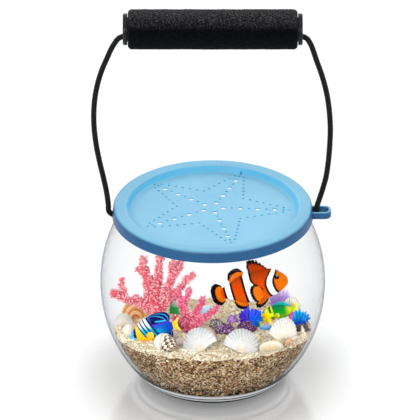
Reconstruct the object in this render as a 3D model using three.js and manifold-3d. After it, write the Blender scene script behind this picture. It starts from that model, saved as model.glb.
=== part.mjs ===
// Portable fish tank: a clear round bowl with a push-on vented lid, a cord bail with a foam grip,
// and a dressed sand bed with corals, toy fish, anemones, shells, rocks and sea glass.
// Millimetres, +Z up, origin at the centre of the bowl's flat foot. +X points to the lid's tab.
import * as THREE from "three";
import { mergeVertices } from "three/addons/utils/BufferGeometryUtils.js";
import Module from "manifold-3d";

const wasm = await Module();
wasm.setup();

// Clearances
const seatGap = 0.3; // between a piece and what it rests on or sits in
const cordGap = 0.45; // between the moving cord and the lid it swings beside
const boreGap = 0.6; // between the cord and the grip that turns on it
const crimpGap = 0.5; // between a crimp and the channel's walls

// Bowl: round in plan, with an elliptical side from the foot over the belly to a short straight neck
const bowlRadius = 70.5; // at the belly
const bellyHeight = 66.5; // height of the belly above the foot
const bowlHeight = 117.3; // top of the rim
const bowlWall = 2;
const baseThickness = 7.5;
const footRadius = 36; // flat face that the bowl stands on
const footFlare = 3.7; // how far the side stands out beyond the flat face
const footRound = 1.2;
const neckRadius = 57.9;
const neckLength = 7.3;
const shoulderStep = 1.4; // from the neck out to the side

// Lid: an upturned channel round a sunk disc with vent holes
const lidThickness = 2.4; // top of the channel
const discThickness = 0.9;
const recessDepth = 4;
const recessDraft = 2.1; // how far the recess wall leans in
const plugWall = 1.7;
const channelWidth = 2.9; // from the neck to the skirt
const skirtThickness = 2.2;
const skirtDepth = 7.5;
const skirtDraft = 0.7;
const lidEdgeRound = 2.2;
const ventDiameter = 3.4;
const ventFirst = 6.6; // radius of the innermost ring of vents
const ventPitch = 10.8; // along each arm of the star
const ventArms = 5;
const ventsPerArm = 4;
const ventTurn = -4; // degrees from +X to the first arm
const starBack = 5; // how far the middle of the star lies behind the middle of the lid

// Tab: the loop on the lid's side that the cord runs through
const tabLength = 11;
const tabWidth = 10.4;
const tabWall = 1.8;
const tabHeight = 4.6;
const tabRound = 4; // at the corners of its free end
const tabRaise = 0.3; // above the skirt's lower edge

// Cord: one braided bail, crimped inside the lid's channel at both ends
const cordDiameter = 3.5;
const crimpWidth = 7;
const crimpHeight = 4.2;
const crimpHang = 1.3; // how far the crimp hangs below the skirt's lower edge
const notchRoom = 0.6; // how much wider the skirt's notch is than the cord
const notchHeight = 4.7;

// Grip: a foam sleeve on a core tube, with a flanged cap in each end
const gripHeight = 243.9; // axis of the grip above the foot
const foamLength = 105.6;
const foamDiameter = 25;
const foamRound = 2.2;
const coreDiameter = 18;
const coreWall = 1;
const capDiameter = 20;
const capThickness = 2.8;
const capRound = 0.8;
const capBore = 13.2;
const capMouth = 17.6; // where the bore flares at the outer face
const capFlare = 5; // depth of the flare
const capSpigot = 9;

// Sand bed
const sandDepth = 34; // height of its surface at the middle of the bowl
const sandSlope = 0.18; // it lies higher towards the front
const sandRipple = 0.7;
const sandRipplePitch = 11;

// Corals
const coralLargeHeight = 50;
const coralSmallHeight = 28;

// Clownfish and the clear rod that carries it
const clownLength = 48;
const clownBelly = 10.8; // half height of its body
const clownCheek = 5.4; // half thickness of its body
const clownHeight = 24.9; // its middle above the sand at the rod
const clownRise = 15; // degrees nose up
const rodDiameter = 2;
const rodSunk = 12; // length below the sand
const rodInFish = 4;

// The two fish that stand on the sand
const angelLength = 31;
const angelBelly = 9;
const angelCheek = 3.2;
const angelHeight = 8; // its middle above the sand
const greenLength = 23;
const greenBelly = 5;
const greenCheek = 2.8;
const greenHeight = 4.4;
const finThickness = 1.2;

// Facets
const roundFacets = 36;
const smallFacets = 20;
const cordFacets = 8;
const cordSteps = 78;
const coralFacets = 5;
const fishFacets = 10;

const cordRadius = cordDiameter / 2;
const rodRadius = rodDiameter / 2;
const gripEnd = foamLength / 2 + seatGap + capThickness;
const lidTop = bowlHeight + seatGap + lidThickness;
const skirtFoot = lidTop - skirtDepth;
const skirtInner = neckRadius + channelWidth;
const skirtOuter = skirtInner + skirtThickness;
const tabTop = skirtFoot + tabRaise + tabHeight;
const pivotX = skirtOuter + cordRadius + cordGap;
const pivotZ = tabTop + cordRadius + cordGap;

// Solids: closed meshes joined and cut

function solidOf(geometry) {
  const bare = geometry.index ? geometry.toNonIndexed() : geometry.clone();
  bare.deleteAttribute("normal");
  bare.deleteAttribute("uv");
  const merged = mergeVertices(bare, 1e-4);
  const vertProperties = new Float32Array(merged.attributes.position.array);
  const triVerts = new Uint32Array(merged.index.array);
  return new wasm.Manifold(new wasm.Mesh({ numProp: 3, vertProperties, triVerts }));
}

function geometryOf(solid) {
  const mesh = solid.getMesh();
  const made = new THREE.BufferGeometry();
  made.setAttribute("position", new THREE.BufferAttribute(new Float32Array(mesh.vertProperties), 3));
  made.setIndex(new THREE.BufferAttribute(new Uint32Array(mesh.triVerts), 1));
  made.computeVertexNormals();
  return made;
}

const joined = (geometries) => geometries.map(solidOf).reduce((whole, next) => whole.add(next));

// Shapes

const point = (x, y, z) => new THREE.Vector3(x, y, z);
const radians = THREE.MathUtils.degToRad;

// A profile of [radius, height] pairs turned about +Z; it runs up the outside and down the inside.
function turned(profile, facets) {
  const points = profile.map(([radius, height]) => new THREE.Vector2(radius, height));
  return new THREE.LatheGeometry(points, facets).rotateX(Math.PI / 2);
}

// The same, turned about +X.
function turnedAlongX(profile, facets) {
  const points = profile.map(([radius, along]) => new THREE.Vector2(radius, along));
  return new THREE.LatheGeometry(points, facets).rotateZ(-Math.PI / 2);
}

// A round edge of a profile, from one angle to another, in degrees.
function edge(centreRadius, centreHeight, round, from, to, steps) {
  return Array.from({ length: steps + 1 }, (_, i) => {
    const angle = radians(from + ((to - from) * i) / steps);
    return [centreRadius + round * Math.cos(angle), centreHeight + round * Math.sin(angle)];
  });
}

// A closed body through a row of rings with the same number of points each.
function loft(rings) {
  const sides = rings[0].length;
  const middle = (ring) => ring.reduce((sum, p) => sum.add(p), point(0, 0, 0)).divideScalar(sides);
  const points = [...rings.flat(), middle(rings[0]), middle(rings[rings.length - 1])];
  const [first, last] = [points.length - 2, points.length - 1];
  const index = [];
  for (let i = 0; i < rings.length - 1; i++)
    for (let j = 0; j < sides; j++) {
      const [a, b] = [i * sides + j, i * sides + ((j + 1) % sides)];
      index.push(a, b, b + sides, a, b + sides, a + sides);
    }
  const top = (rings.length - 1) * sides;
  for (let j = 0; j < sides; j++) {
    const next = (j + 1) % sides;
    index.push(first, next, j, last, top + j, top + next);
  }
  return new THREE.BufferGeometry().setFromPoints(points).setIndex(index);
}

// An elliptical ring: u and v are its half axes, with u cross v along the loft.
function ring(centre, u, v, sides) {
  return Array.from({ length: sides }, (_, i) => {
    const angle = (2 * Math.PI * i) / sides;
    return centre.clone().addScaledVector(u, Math.cos(angle)).addScaledVector(v, Math.sin(angle));
  });
}

// A tapering limb with a blunt tip, as a coral branch or a tentacle has.
function limb(from, to, startRadius, endRadius, sides) {
  const along = to.clone().sub(from).normalize();
  const u = point(0, 1, 0).cross(along).normalize();
  const v = along.clone().cross(u);
  const across = (centre, radius) =>
    ring(centre, u.clone().multiplyScalar(radius), v.clone().multiplyScalar(radius), sides);
  const tip = to.clone().addScaledVector(along, endRadius * 0.7);
  return loft([across(from, startRadius), across(to, endRadius), across(tip, endRadius * 0.55)]);
}

// A closed sheet between an upper and a lower grid of points.
function thickSheet(upper, lower) {
  const [rows, columns] = [upper.length, upper[0].length];
  const below = rows * columns;
  const at = (i, j) => i * columns + j;
  const index = [];
  for (let i = 0; i < rows - 1; i++)
    for (let j = 0; j < columns - 1; j++) {
      const [a, b, c, d] = [at(i, j), at(i + 1, j), at(i + 1, j + 1), at(i, j + 1)];
      index.push(a, b, c, a, c, d);
      index.push(below + a, below + c, below + b, below + a, below + d, below + c);
    }
  const rim = [];
  for (let i = 0; i < rows - 1; i++) rim.push(at(i, 0));
  for (let j = 0; j < columns - 1; j++) rim.push(at(rows - 1, j));
  for (let i = rows - 1; i > 0; i--) rim.push(at(i, columns - 1));
  for (let j = columns - 1; j > 0; j--) rim.push(at(0, j));
  rim.forEach((a, k) => {
    const b = rim[(k + 1) % rim.length];
    index.push(a, below + a, below + b, a, below + b, b);
  });
  const points = [...upper.flat(), ...lower.flat()];
  return new THREE.BufferGeometry().setFromPoints(points).setIndex(index);
}

// A tube along a curve, closed at both ends.
function tube(points, radius, steps) {
  const corners = ring(point(0, 0, 0), point(radius, 0, 0), point(0, radius, 0), cordFacets);
  const section = new THREE.Shape(corners.map((p) => new THREE.Vector2(p.x, p.y)));
  const extrudePath = new THREE.CatmullRomCurve3(points, false, "centripetal");
  return new THREE.ExtrudeGeometry(section, { steps, extrudePath, bevelEnabled: false });
}

// A plate of an outline in plan, between two heights.
function plate(outline, low, high) {
  const options = { depth: high - low, bevelEnabled: false, curveSegments: 4 };
  return new THREE.ExtrudeGeometry(outline, options).translate(0, 0, low);
}

// A plate of an outline that stands in the XZ plane, centred on y = 0.
const standingPlate = (outline, thickness) =>
  plate(outline, -thickness / 2, thickness / 2).rotateX(Math.PI / 2);

// Finishes

const finish = (color, roughness, more = {}) =>
  new THREE.MeshStandardMaterial({ color, roughness, metalness: 0, ...more });
const clearPlastic = finish(0xf4f8fa, 0.05, { transparent: true, opacity: 0.25 });
const bluePlastic = finish(0x8ecbf0, 0.5);
const blackFoam = finish(0x1c1c1e, 0.95);
const blackPlastic = finish(0x0c0d10, 0.25);
const blackCord = finish(0x101214, 0.8);
const crimpMetal = finish(0x9a9da0, 0.35, { metalness: 1 });
const sand = finish(0xcdb592, 0.95);
const pinkCoral = finish(0xe0566b, 0.8);
const clownOrange = finish(0xe8730e, 0.4);
const angelBlue = finish(0x1f6fd0, 0.4);
const fishGreen = finish(0x4fae2f, 0.4);
const anemoneViolet = finish(0x4a2bd0, 0.6);
const plantPurple = finish(0x9a63d8, 0.6);
const anemoneCyan = finish(0x1787e6, 0.6);
const starYellow = finish(0xf0cf1c, 0.7);
const rockPurple = finish(0x6b2f5e, 0.9);
const rockGrey = finish(0x6a5c5c, 0.9);
const shellWhite = finish(0xf3efe8, 0.5);
const shellCream = finish(0xe9d3ab, 0.5);
const shellBrown = finish(0xb9854f, 0.5);
const glassGreen = finish(0x1f8a3c, 0.2, { transparent: true, opacity: 0.8 });
const glassBlue = finish(0x8fc6e4, 0.2, { transparent: true, opacity: 0.8 });

const tank = new THREE.Group();

function addPiece(name, geometry, material) {
  const mesh = new THREE.Mesh(geometry, material);
  mesh.name = name;
  tank.add(mesh);
}

// Bowl

const shoulderHeight = bowlHeight - neckLength;

// Vertical half axis of the ellipse that runs from the belly to a given radius at a given height.
const riseTo = (radius, height) =>
  Math.abs(height - bellyHeight) / Math.sqrt(1 - (radius / bowlRadius) ** 2);
const lowRise = riseTo(footRadius + footFlare, 0);
const highRise = riseTo(neckRadius + shoulderStep, shoulderHeight);

// Radius of the side at a height, taken in by a distance.
function sideAt(height, takenIn) {
  const rise = (height < bellyHeight ? lowRise : highRise) - takenIn;
  return (bowlRadius - takenIn) * Math.sqrt(1 - ((height - bellyHeight) / rise) ** 2);
}

// Points up the side between two heights.
function sideProfile(low, high, takenIn, steps) {
  return Array.from({ length: steps + 1 }, (_, i) => {
    const height = low + ((high - low) * i) / steps;
    return [sideAt(height, takenIn), height];
  });
}

// The hollow's outline from the middle of its floor up to the neck, taken in further by a gap.
function hollowProfile(gap, steps) {
  const floor = baseThickness + gap;
  return [[0, floor], ...sideProfile(floor, shoulderHeight - bowlWall, bowlWall + gap, steps)];
}

function bowl() {
  const rimRound = bowlWall / 2;
  const profile = [
    [0, 0],
    [footRadius, 0],
    ...sideProfile(footRound, shoulderHeight - rimRound, 0, 12),
    [neckRadius, shoulderHeight],
    ...edge(neckRadius - rimRound, bowlHeight - rimRound, rimRound, 0, 180, 4),
    [neckRadius - bowlWall, shoulderHeight],
    ...hollowProfile(0, 11).reverse(),
  ];
  return turned(profile, roundFacets);
}

addPiece("bowl", bowl(), clearPlastic);

// Lid

const overcut = 2; // how far a cutter passes through what it cuts

function lidBody() {
  const plugOuter = neckRadius - bowlWall - seatGap;
  const recessEdge = plugOuter - plugWall;
  const recessFloor = lidTop - recessDepth;
  const channelRoof = lidTop - lidThickness;
  const roundCentre = skirtOuter - skirtDraft - lidEdgeRound;
  const profile = [
    [0, recessFloor - discThickness],
    [plugOuter - recessDraft, recessFloor - discThickness],
    [plugOuter, channelRoof],
    [skirtInner, channelRoof],
    [skirtInner, skirtFoot],
    [skirtOuter, skirtFoot],
    ...edge(roundCentre, lidTop - lidEdgeRound, lidEdgeRound, 0, 90, 4),
    [recessEdge, lidTop],
    [recessEdge - recessDraft, recessFloor],
    [0, recessFloor],
  ];
  return turned(profile, roundFacets);
}

// A tongue that reaches out from inside the skirt, with a round end.
function tongue(reach, width, endRound) {
  const [root, end] = [skirtOuter - skirtThickness / 2, skirtOuter + reach - endRound];
  const corner = width / 2 - endRound;
  const outline = new THREE.Shape();
  outline.moveTo(root, -width / 2);
  outline.lineTo(end, -width / 2);
  outline.absarc(end, -corner, endRound, -Math.PI / 2, 0);
  outline.absarc(end, corner, endRound, 0, Math.PI / 2);
  outline.lineTo(root, width / 2);
  return outline;
}

// The loop is a tongue with a slot, trimmed at its root so that it stops inside the skirt's wall.
function tab() {
  const foot = skirtFoot + tabRaise;
  const slotWidth = tabWidth - 2 * tabWall;
  const outer = plate(tongue(tabLength, tabWidth, tabRound), foot, tabTop);
  const slotEnd = tongue(tabLength - tabWall, slotWidth, tabRound - tabWall);
  const slot = plate(slotEnd, foot - overcut, tabTop + overcut);
  const trim = skirtInner + skirtThickness / 4;
  const inside = turned([[0, 0], [trim, 0], [trim, lidTop], [0, lidTop]], roundFacets);
  return solidOf(outer).subtract(solidOf(slot)).subtract(solidOf(inside));
}

// The notch in the skirt that lets the cord into the channel.
function notch(side) {
  const deep = skirtThickness + overcut;
  const made = new THREE.BoxGeometry(deep, cordDiameter + notchRoom, 2 * notchHeight);
  return made.translate(side * (skirtOuter + overcut / 2 - deep / 2), 0, skirtFoot);
}

function vent(arm, i) {
  const angle = radians(ventTurn + (360 * arm) / ventArms);
  const radius = ventFirst + ventPitch * i;
  const hole = new THREE.CylinderGeometry(
    ventDiameter / 2, ventDiameter / 2, discThickness + 2 * overcut, 8,
  );
  const middle = lidTop - recessDepth - discThickness / 2;
  const [across, back] = [radius * Math.cos(angle), starBack + radius * Math.sin(angle)];
  return hole.rotateX(Math.PI / 2).translate(across, back, middle);
}

function lid() {
  let made = solidOf(lidBody()).add(tab());
  for (let arm = 0; arm < ventArms; arm++)
    for (let i = 0; i < ventsPerArm; i++) made = made.subtract(solidOf(vent(arm, i)));
  for (const side of [-1, 1]) made = made.subtract(solidOf(notch(side)));
  return geometryOf(made);
}

addPiece("lid", lid(), bluePlastic);

// Cord

// Free stretches, as [distance from the middle, height], from the lid up to the grip's mouth.
const rightStretch = [
  [66.3, 123.5], [68, 129.2], [69.5, 134.9], [70.8, 140.5], [72.2, 151.8], [73, 163.2],
  [73.3, 174.5], [72.7, 185.8], [71.3, 197.1], [68.8, 208.5], [66.6, 216], [64.6, 222],
  [62.8, 228], [61, 233.2], [58.3, 237.6],
];
const leftStretch = [
  [65.6, 124], [66.3, 129.5], [67.3, 135], [68.5, 141], [70.8, 152], [72.7, 163.2],
  [73.9, 174.5], [74.1, 185.8], [73.2, 197.1], [71, 208.5], [68.4, 217], [65.6, 224],
  [63.2, 230], [61, 234.2], [58.3, 237.7],
];
const cordBore = gripHeight - (capBore / 2 - cordRadius - boreGap);
const throughGrip = [
  [gripEnd - 1.9, cordBore - 0.2], [gripEnd - 5.4, cordBore], [gripEnd - 10, cordBore],
];

// The bail's ends are round, because it pivots there on the ends that stay in the lid.
function carryCord() {
  const half = (side, stretch) =>
    [[pivotX, pivotZ], ...stretch, ...throughGrip].map(([x, z]) => point(side * x, 0, z));
  const route = [...half(-1, leftStretch), ...half(1, rightStretch).reverse()];
  const pieces = [tube(route, cordRadius, cordSteps)];
  for (const side of [-1, 1]) {
    const end = new THREE.SphereGeometry(cordRadius, cordFacets, 6);
    pieces.push(end.translate(side * pivotX, 0, pivotZ));
  }
  return geometryOf(joined(pieces));
}

addPiece("carry_cord", carryCord(), blackCord);

const crimpInner = neckRadius + crimpGap;
const crimpOuter = skirtInner - crimpGap;
const crimpMiddle = skirtFoot - crimpHang + crimpHeight / 2;

// Each end runs down beside the skirt and in through its notch to the crimp.
function cordEnd(side) {
  const top = pivotZ - cordRadius - cordGap;
  const route = [
    [pivotX, top], [pivotX - 0.2, top - 1.1], [pivotX - 1, top - 2.4],
    [pivotX - 2.6, crimpMiddle + 0.4], [crimpOuter + seatGap, crimpMiddle + 0.2],
  ];
  return tube(route.map(([x, z]) => point(side * x, 0, z)), cordRadius, 8);
}

function crimp(side) {
  const made = new THREE.BoxGeometry(crimpOuter - crimpInner, crimpWidth, crimpHeight);
  return made.translate((side * (crimpOuter + crimpInner)) / 2, 0, crimpMiddle);
}

for (const [side, word] of [[-1, "left"], [1, "right"]]) {
  addPiece(`cord_end_${word}`, cordEnd(side), blackCord);
  addPiece(`cord_crimp_${word}`, crimp(side), crimpMetal);
}

// Grip

function foamSleeve() {
  const [half, outer, inner] = [foamLength / 2, foamDiameter / 2, coreDiameter / 2 + seatGap];
  const profile = [
    [inner, -half],
    ...edge(outer - foamRound, -half + foamRound, foamRound, -90, 0, 3),
    ...edge(outer - foamRound, half - foamRound, foamRound, 0, 90, 3),
    [inner, half],
    [inner, -half],
  ];
  return turnedAlongX(profile, smallFacets);
}

function coreTube() {
  const [half, outer, inner] = [foamLength / 2, coreDiameter / 2, coreDiameter / 2 - coreWall];
  const profile = [[inner, -half], [outer, -half], [outer, half], [inner, half], [inner, -half]];
  return turnedAlongX(profile, smallFacets);
}

// The cap's flange stands outside the foam, its spigot plugs the core tube, and its bore flares out.
function endCap(side) {
  const spigot = coreDiameter / 2 - coreWall - seatGap;
  const rimCentre = capDiameter / 2 - capRound;
  const flareSteps = 4;
  const flare = Array.from({ length: flareSteps + 1 }, (_, i) => {
    const share = 1 - i / flareSteps;
    const opened = 1 - Math.sqrt(1 - share * share);
    return [capBore / 2 + ((capMouth - capBore) / 2) * opened, capThickness - capFlare * (1 - share)];
  });
  const profile = [
    [spigot, -capSpigot],
    [spigot, 0],
    ...edge(rimCentre, capRound, capRound, -90, 0, 2),
    ...edge(rimCentre, capThickness - capRound, capRound, 0, 90, 2),
    ...flare,
    [capBore / 2, -capSpigot],
    [spigot, -capSpigot],
  ];
  const made = turnedAlongX(profile, smallFacets).translate(foamLength / 2 + seatGap, 0, 0);
  return side < 0 ? made.rotateZ(Math.PI) : made;
}

const gripPieces = [
  ["foam_sleeve", foamSleeve(), blackFoam],
  ["core_tube", coreTube(), blackPlastic],
  ["end_cap_left", endCap(-1), blackPlastic],
  ["end_cap_right", endCap(1), blackPlastic],
];
for (const [name, geometry, material] of gripPieces)
  addPiece(name, geometry.translate(0, 0, gripHeight), material);

// Sand bed

// Places on the sand are shares of its reach, from the middle of the bowl to the wall.
const sandReach = sideAt(sandDepth, bowlWall);

const ripple = (x, y) => Math.sin(x / sandRipplePitch) * Math.cos(y / sandRipplePitch + 1);
const sandHeight = (x, y) => sandDepth - sandSlope * y + sandRipple * ripple(x, y);

// Everything below the sand's surface, raised by a gap, over a square wider than the bowl.
function belowSand(raise) {
  const cells = 14;
  const half = bowlRadius + overcut;
  const across = (i) => -half + (2 * half * i) / cells;
  const grid = (heightAt) =>
    Array.from({ length: cells + 1 }, (_, i) =>
      Array.from({ length: cells + 1 }, (_, j) =>
        point(across(i), across(j), heightAt(across(i), across(j))),
      ),
    );
  return solidOf(thickSheet(grid((x, y) => sandHeight(x, y) + raise), grid(() => 0)));
}

const rodX = 0.372 * sandReach;
const rodY = 0.14 * sandReach;
const rodFoot = sandHeight(rodX, rodY) - rodSunk;
const clownMiddle = sandHeight(rodX, rodY) + clownHeight;
const rodTop = clownMiddle - clownBelly + rodInFish;

function rod(radius, low, high) {
  const made = new THREE.CylinderGeometry(radius, radius, high - low, 8);
  return made.rotateX(Math.PI / 2).translate(rodX, rodY, (low + high) / 2);
}

function sandBed() {
  const profile = hollowProfile(seatGap, 9);
  const hollow = turned([...profile, [0, profile[profile.length - 1][1]]], roundFacets);
  const rodHole = rod(rodRadius + seatGap, rodFoot - seatGap, bowlHeight);
  return geometryOf(solidOf(hollow).intersect(belowSand(0)).subtract(solidOf(rodHole)));
}

addPiece("sand_bed", sandBed(), sand);

// A decoration is made about its own foot, turned, set down at its place and trimmed to the sand.
const underSeat = belowSand(seatGap);

function seat(name, solid, material, { at: [across, back], sink = 0, turn = 0, lean = 0, tilt = 0 }) {
  const [x, y] = [across * sandReach, back * sandReach];
  const made = geometryOf(solid);
  made.rotateX(radians(lean)).rotateY(radians(tilt)).rotateZ(radians(turn));
  made.translate(x, y, sandHeight(x, y) - sink);
  addPiece(name, geometryOf(solidOf(made).subtract(underSeat)), material);
}

// Corals: branches as [start, end, start radius, end radius], in shares of the coral's height

function coral(height, branches) {
  const branch = ([from, to, thick, thin]) =>
    limb(point(...from), point(...to), thick, thin, coralFacets).scale(height, height, height);
  return joined(branches.map(branch));
}

const coralLargeBranches = [
  [[0, 0, -0.08], [0, 0.01, 0.28], 0.12, 0.092],
  [[0, 0, 0.16], [-0.22, -0.04, 0.32], 0.084, 0.064],
  [[-0.2, -0.04, 0.31], [-0.53, -0.08, 0.46], 0.062, 0.04],
  [[-0.36, -0.06, 0.38], [-0.41, -0.08, 0.56], 0.036, 0.028],
  [[-0.04, 0, 0.24], [-0.09, 0.02, 0.6], 0.084, 0.06],
  [[-0.09, 0.02, 0.58], [-0.14, 0.04, 0.88], 0.06, 0.04],
  [[-0.1, 0.02, 0.62], [-0.22, 0, 0.74], 0.036, 0.026],
  [[0.02, 0.02, 0.24], [0.06, 0.08, 0.6], 0.068, 0.048],
  [[0.06, 0.08, 0.58], [0.1, 0.1, 0.94], 0.048, 0.036],
  [[0.06, 0.02, 0.26], [0.2, -0.02, 0.56], 0.064, 0.046],
  [[0.2, -0.02, 0.54], [0.22, -0.04, 0.84], 0.046, 0.032],
  [[0.2, -0.02, 0.58], [0.34, 0, 0.84], 0.04, 0.03],
  [[0.08, -0.02, 0.18], [0.28, -0.12, 0.48], 0.068, 0.052],
  [[0.27, -0.12, 0.47], [0.48, -0.16, 0.74], 0.05, 0.034],
];
const coralSmallBranches = [
  [[0, 0, -0.143], [0.018, 0.018, 0.286], 0.196, 0.143],
  [[-0.036, 0, 0.179], [-0.143, 0.107, 0.607], 0.114, 0.079],
  [[-0.143, 0.107, 0.571], [-0.232, 0.143, 0.893], 0.075, 0.054],
  [[-0.125, 0.107, 0.571], [0.018, 0.143, 0.964], 0.075, 0.054],
  [[0.036, 0, 0.179], [0.214, 0.071, 0.571], 0.114, 0.071],
  [[0.214, 0.071, 0.536], [0.321, 0.036, 0.821], 0.068, 0.05],
  [[0.107, -0.036, 0.143], [0.393, 0, 0.375], 0.107, 0.079],
  [[0.375, 0, 0.357], [0.625, 0.036, 0.536], 0.075, 0.054],
  [[-0.107, -0.036, 0.143], [-0.321, 0, 0.321], 0.093, 0.064],
];
seat("coral_large", coral(coralLargeHeight, coralLargeBranches), pinkCoral, { at: [-0.59, 0.18] });
seat("coral_small", coral(coralSmallHeight, coralSmallBranches), pinkCoral, { at: [-0.24, -0.11] });

// Toy fish, nose towards +X, standing upright in the XZ plane

// A fin through [x, z] corners, where a corner may add the point that bends the edge leading to it.
// x is a share of the fish's length and z of its belly, which is half its body's height.
function fin(corners, { length, belly }) {
  const outline = new THREE.Shape();
  corners.forEach(([x, z, bendX, bendZ], i) => {
    const end = [x * length, z * belly];
    if (!i) outline.moveTo(...end);
    else if (bendX === undefined) outline.lineTo(...end);
    else outline.quadraticCurveTo(bendX * length, bendZ * belly, ...end);
  });
  return standingPlate(outline, finThickness);
}

// A fish with its fins. The body runs through stations of [distance from the nose as a share of the
// length, half height and rise as shares of the belly, half thickness as a share of the cheek].
function fish(sizes, stations, fins) {
  const { length, belly, cheek } = sizes;
  const station = ([back, tall, rise, thick]) => {
    const middle = point(length * (0.5 - back), 0, belly * rise);
    return ring(middle, point(0, 0, belly * tall), point(0, cheek * thick, 0), fishFacets);
  };
  return joined([loft(stations.map(station)), ...fins.map((corners) => fin(corners, sizes))]);
}

const clownStations = [
  [0, 0.24, -0.04, 0.3], [0.06, 0.5, -0.02, 0.6], [0.2, 0.8, 0, 0.889], [0.4, 1, 0, 1],
  [0.58, 0.917, 0, 0.852], [0.72, 0.625, 0, 0.556], [0.84, 0.375, 0, 0.333], [0.88, 0.271, 0, 0.222],
];
const clownFins = [
  [[-0.312, 0], [-0.354, 0.469], [-0.479, 0.667, -0.417, 0.771], [-0.479, -0.667, -0.552, 0],
    [-0.354, -0.469, -0.417, -0.771]],
  [[0.208, 0.625], [0.167, 1.458, 0.229, 1.146], [0, 1.312, 0.083, 1.719], [0.01, 0.729]],
  [[0, 0.729], [-0.083, 1.375, -0.021, 1.292], [-0.25, 0.896, -0.24, 1.396], [-0.229, 0.365]],
  [[-0.073, -0.729], [-0.104, -1.396, -0.052, -1.25], [-0.25, -0.792, -0.242, -1.312],
    [-0.208, -0.365]],
  [[0.188, -0.677], [0.146, -1.354, 0.198, -1.146], [0.052, -1.292, 0.083, -1.615], [0.073, -0.729]],
];
const angelStations = [
  [0, 0.133, -0.267, 0.281], [0.08, 0.4, -0.2, 0.625], [0.25, 0.8, -0.044, 0.938], [0.45, 1, 0, 1],
  [0.65, 0.844, 0.022, 0.812], [0.8, 0.467, 0.022, 0.5], [0.88, 0.244, 0.022, 0.312],
];
const angelFins = [
  [[-0.323, 0], [-0.387, 0.244], [-0.532, 0.578, -0.452, 0.444], [-0.532, -0.533, -0.452, 0.022],
    [-0.387, -0.2, -0.452, -0.4]],
  [[0.194, 0.722], [-0.129, 1.222, 0.065, 1.156], [-0.355, 0.778, -0.29, 1.267], [-0.258, 0.267]],
  [[0, -0.778], [-0.226, -0.978, -0.097, -1.067], [-0.355, -0.511, -0.355, -0.933], [-0.258, -0.156]],
];
const greenStations = [
  [0, 0.18, 0, 0.286], [0.1, 0.52, 0, 0.643], [0.3, 0.94, 0, 1], [0.5, 1, 0, 1],
  [0.68, 0.72, 0, 0.714], [0.8, 0.36, 0, 0.393],
];
const greenFins = [
  [[-0.261, 0], [-0.348, 0.32], [-0.522, 1.04, -0.435, 0.92], [-0.522, -0.84, -0.452, 0.08],
    [-0.348, -0.32, -0.435, -0.68]],
  [[0.174, 0.72], [-0.087, 1.28, 0.065, 1.32], [-0.261, 0.32]],
];

// The clownfish swims on its rod, which plugs into its belly between the lower fins.
function addClownfish() {
  const sizes = { length: clownLength, belly: clownBelly, cheek: clownCheek };
  const upright = geometryOf(fish(sizes, clownStations, clownFins));
  const swimming = upright.rotateY(-radians(clownRise)).translate(rodX, rodY, clownMiddle);
  const socket = rod(rodRadius + seatGap, rodFoot, rodTop + seatGap);
  addPiece("clownfish", geometryOf(solidOf(swimming).subtract(solidOf(socket))), clownOrange);
  addPiece("clownfish_rod", rod(rodRadius, rodFoot, rodTop), clearPlastic);
}

// The other two stand on the sand, with their middle at a height above it.
function standingFish({ height, ...sizes }, stations, fins) {
  return solidOf(geometryOf(fish(sizes, stations, fins)).translate(0, 0, height));
}

addClownfish();
const angelSizes = { length: angelLength, belly: angelBelly, cheek: angelCheek, height: angelHeight };
const greenSizes = { length: greenLength, belly: greenBelly, cheek: greenCheek, height: greenHeight };
const angel = standingFish(angelSizes, angelStations, angelFins);
const green = standingFish(greenSizes, greenStations, greenFins);
seat("angelfish", angel, angelBlue, { at: [-0.56, -0.43], turn: 180, tilt: 12 });
seat("green_fish", green, fishGreen, { at: [0.69, 0.27], turn: 180, tilt: 8 });

// Anemones and a plant: tentacles fanned in two rows over a squat dome

function anemone({ spread, height, depth, count, thick, thin, fan }) {
  const dome = new THREE.SphereGeometry(1, 8, 5).scale(spread * 0.42, depth * 0.42, height * 0.4);
  const pieces = [dome];
  for (let i = 0; i < count; i++) {
    const angle = radians(-fan / 2 + (fan * i) / (count - 1));
    const row = i % 2 ? 1 : -1;
    const root = point(spread * 0.26 * Math.sin(angle), row * depth * 0.16, height * 0.2);
    const reach = height * (0.32 + 0.6 * Math.cos(angle));
    const tip = point(spread * 0.5 * Math.sin(angle), row * depth * 0.38, reach);
    pieces.push(limb(root, tip, thick, thin, 4));
  }
  return joined(pieces);
}

const anemoneVioletSizes = { spread: 15, height: 13, depth: 9, count: 9, thick: 1.9, thin: 1.2, fan: 150 };
const seaPlantSizes = { spread: 14, height: 16, depth: 7, count: 11, thick: 0.9, thin: 0.5, fan: 130 };
const anemoneCyanSizes = { spread: 13, height: 10, depth: 9, count: 9, thick: 1.7, thin: 1.1, fan: 160 };
seat("anemone_violet", anemone(anemoneVioletSizes), anemoneViolet, { at: [0.38, 0], turn: 5 });
seat("sea_plant_purple", anemone(seaPlantSizes), plantPurple, { at: [0.67, 0.53] });
seat("anemone_cyan", anemone(anemoneCyanSizes), anemoneCyan, { at: [0.87, 0.05], turn: -10 });

// Starfish

const starReach = 5;
const starWaist = 2.3;
const starThickness = 1.8;

function starfish() {
  const corner = (i) => {
    const [radius, angle] = [i % 2 ? starWaist : starReach, (Math.PI * i) / 5];
    return new THREE.Vector2(radius * Math.sin(angle), radius * Math.cos(angle));
  };
  const outline = new THREE.Shape(Array.from({ length: 10 }, (_, i) => corner(i)));
  return solidOf(standingPlate(outline, starThickness).translate(0, 0, starReach * 0.8));
}

seat("starfish", starfish(), starYellow, { at: [0.54, 0.11], lean: -18 });

// Shells

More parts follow.
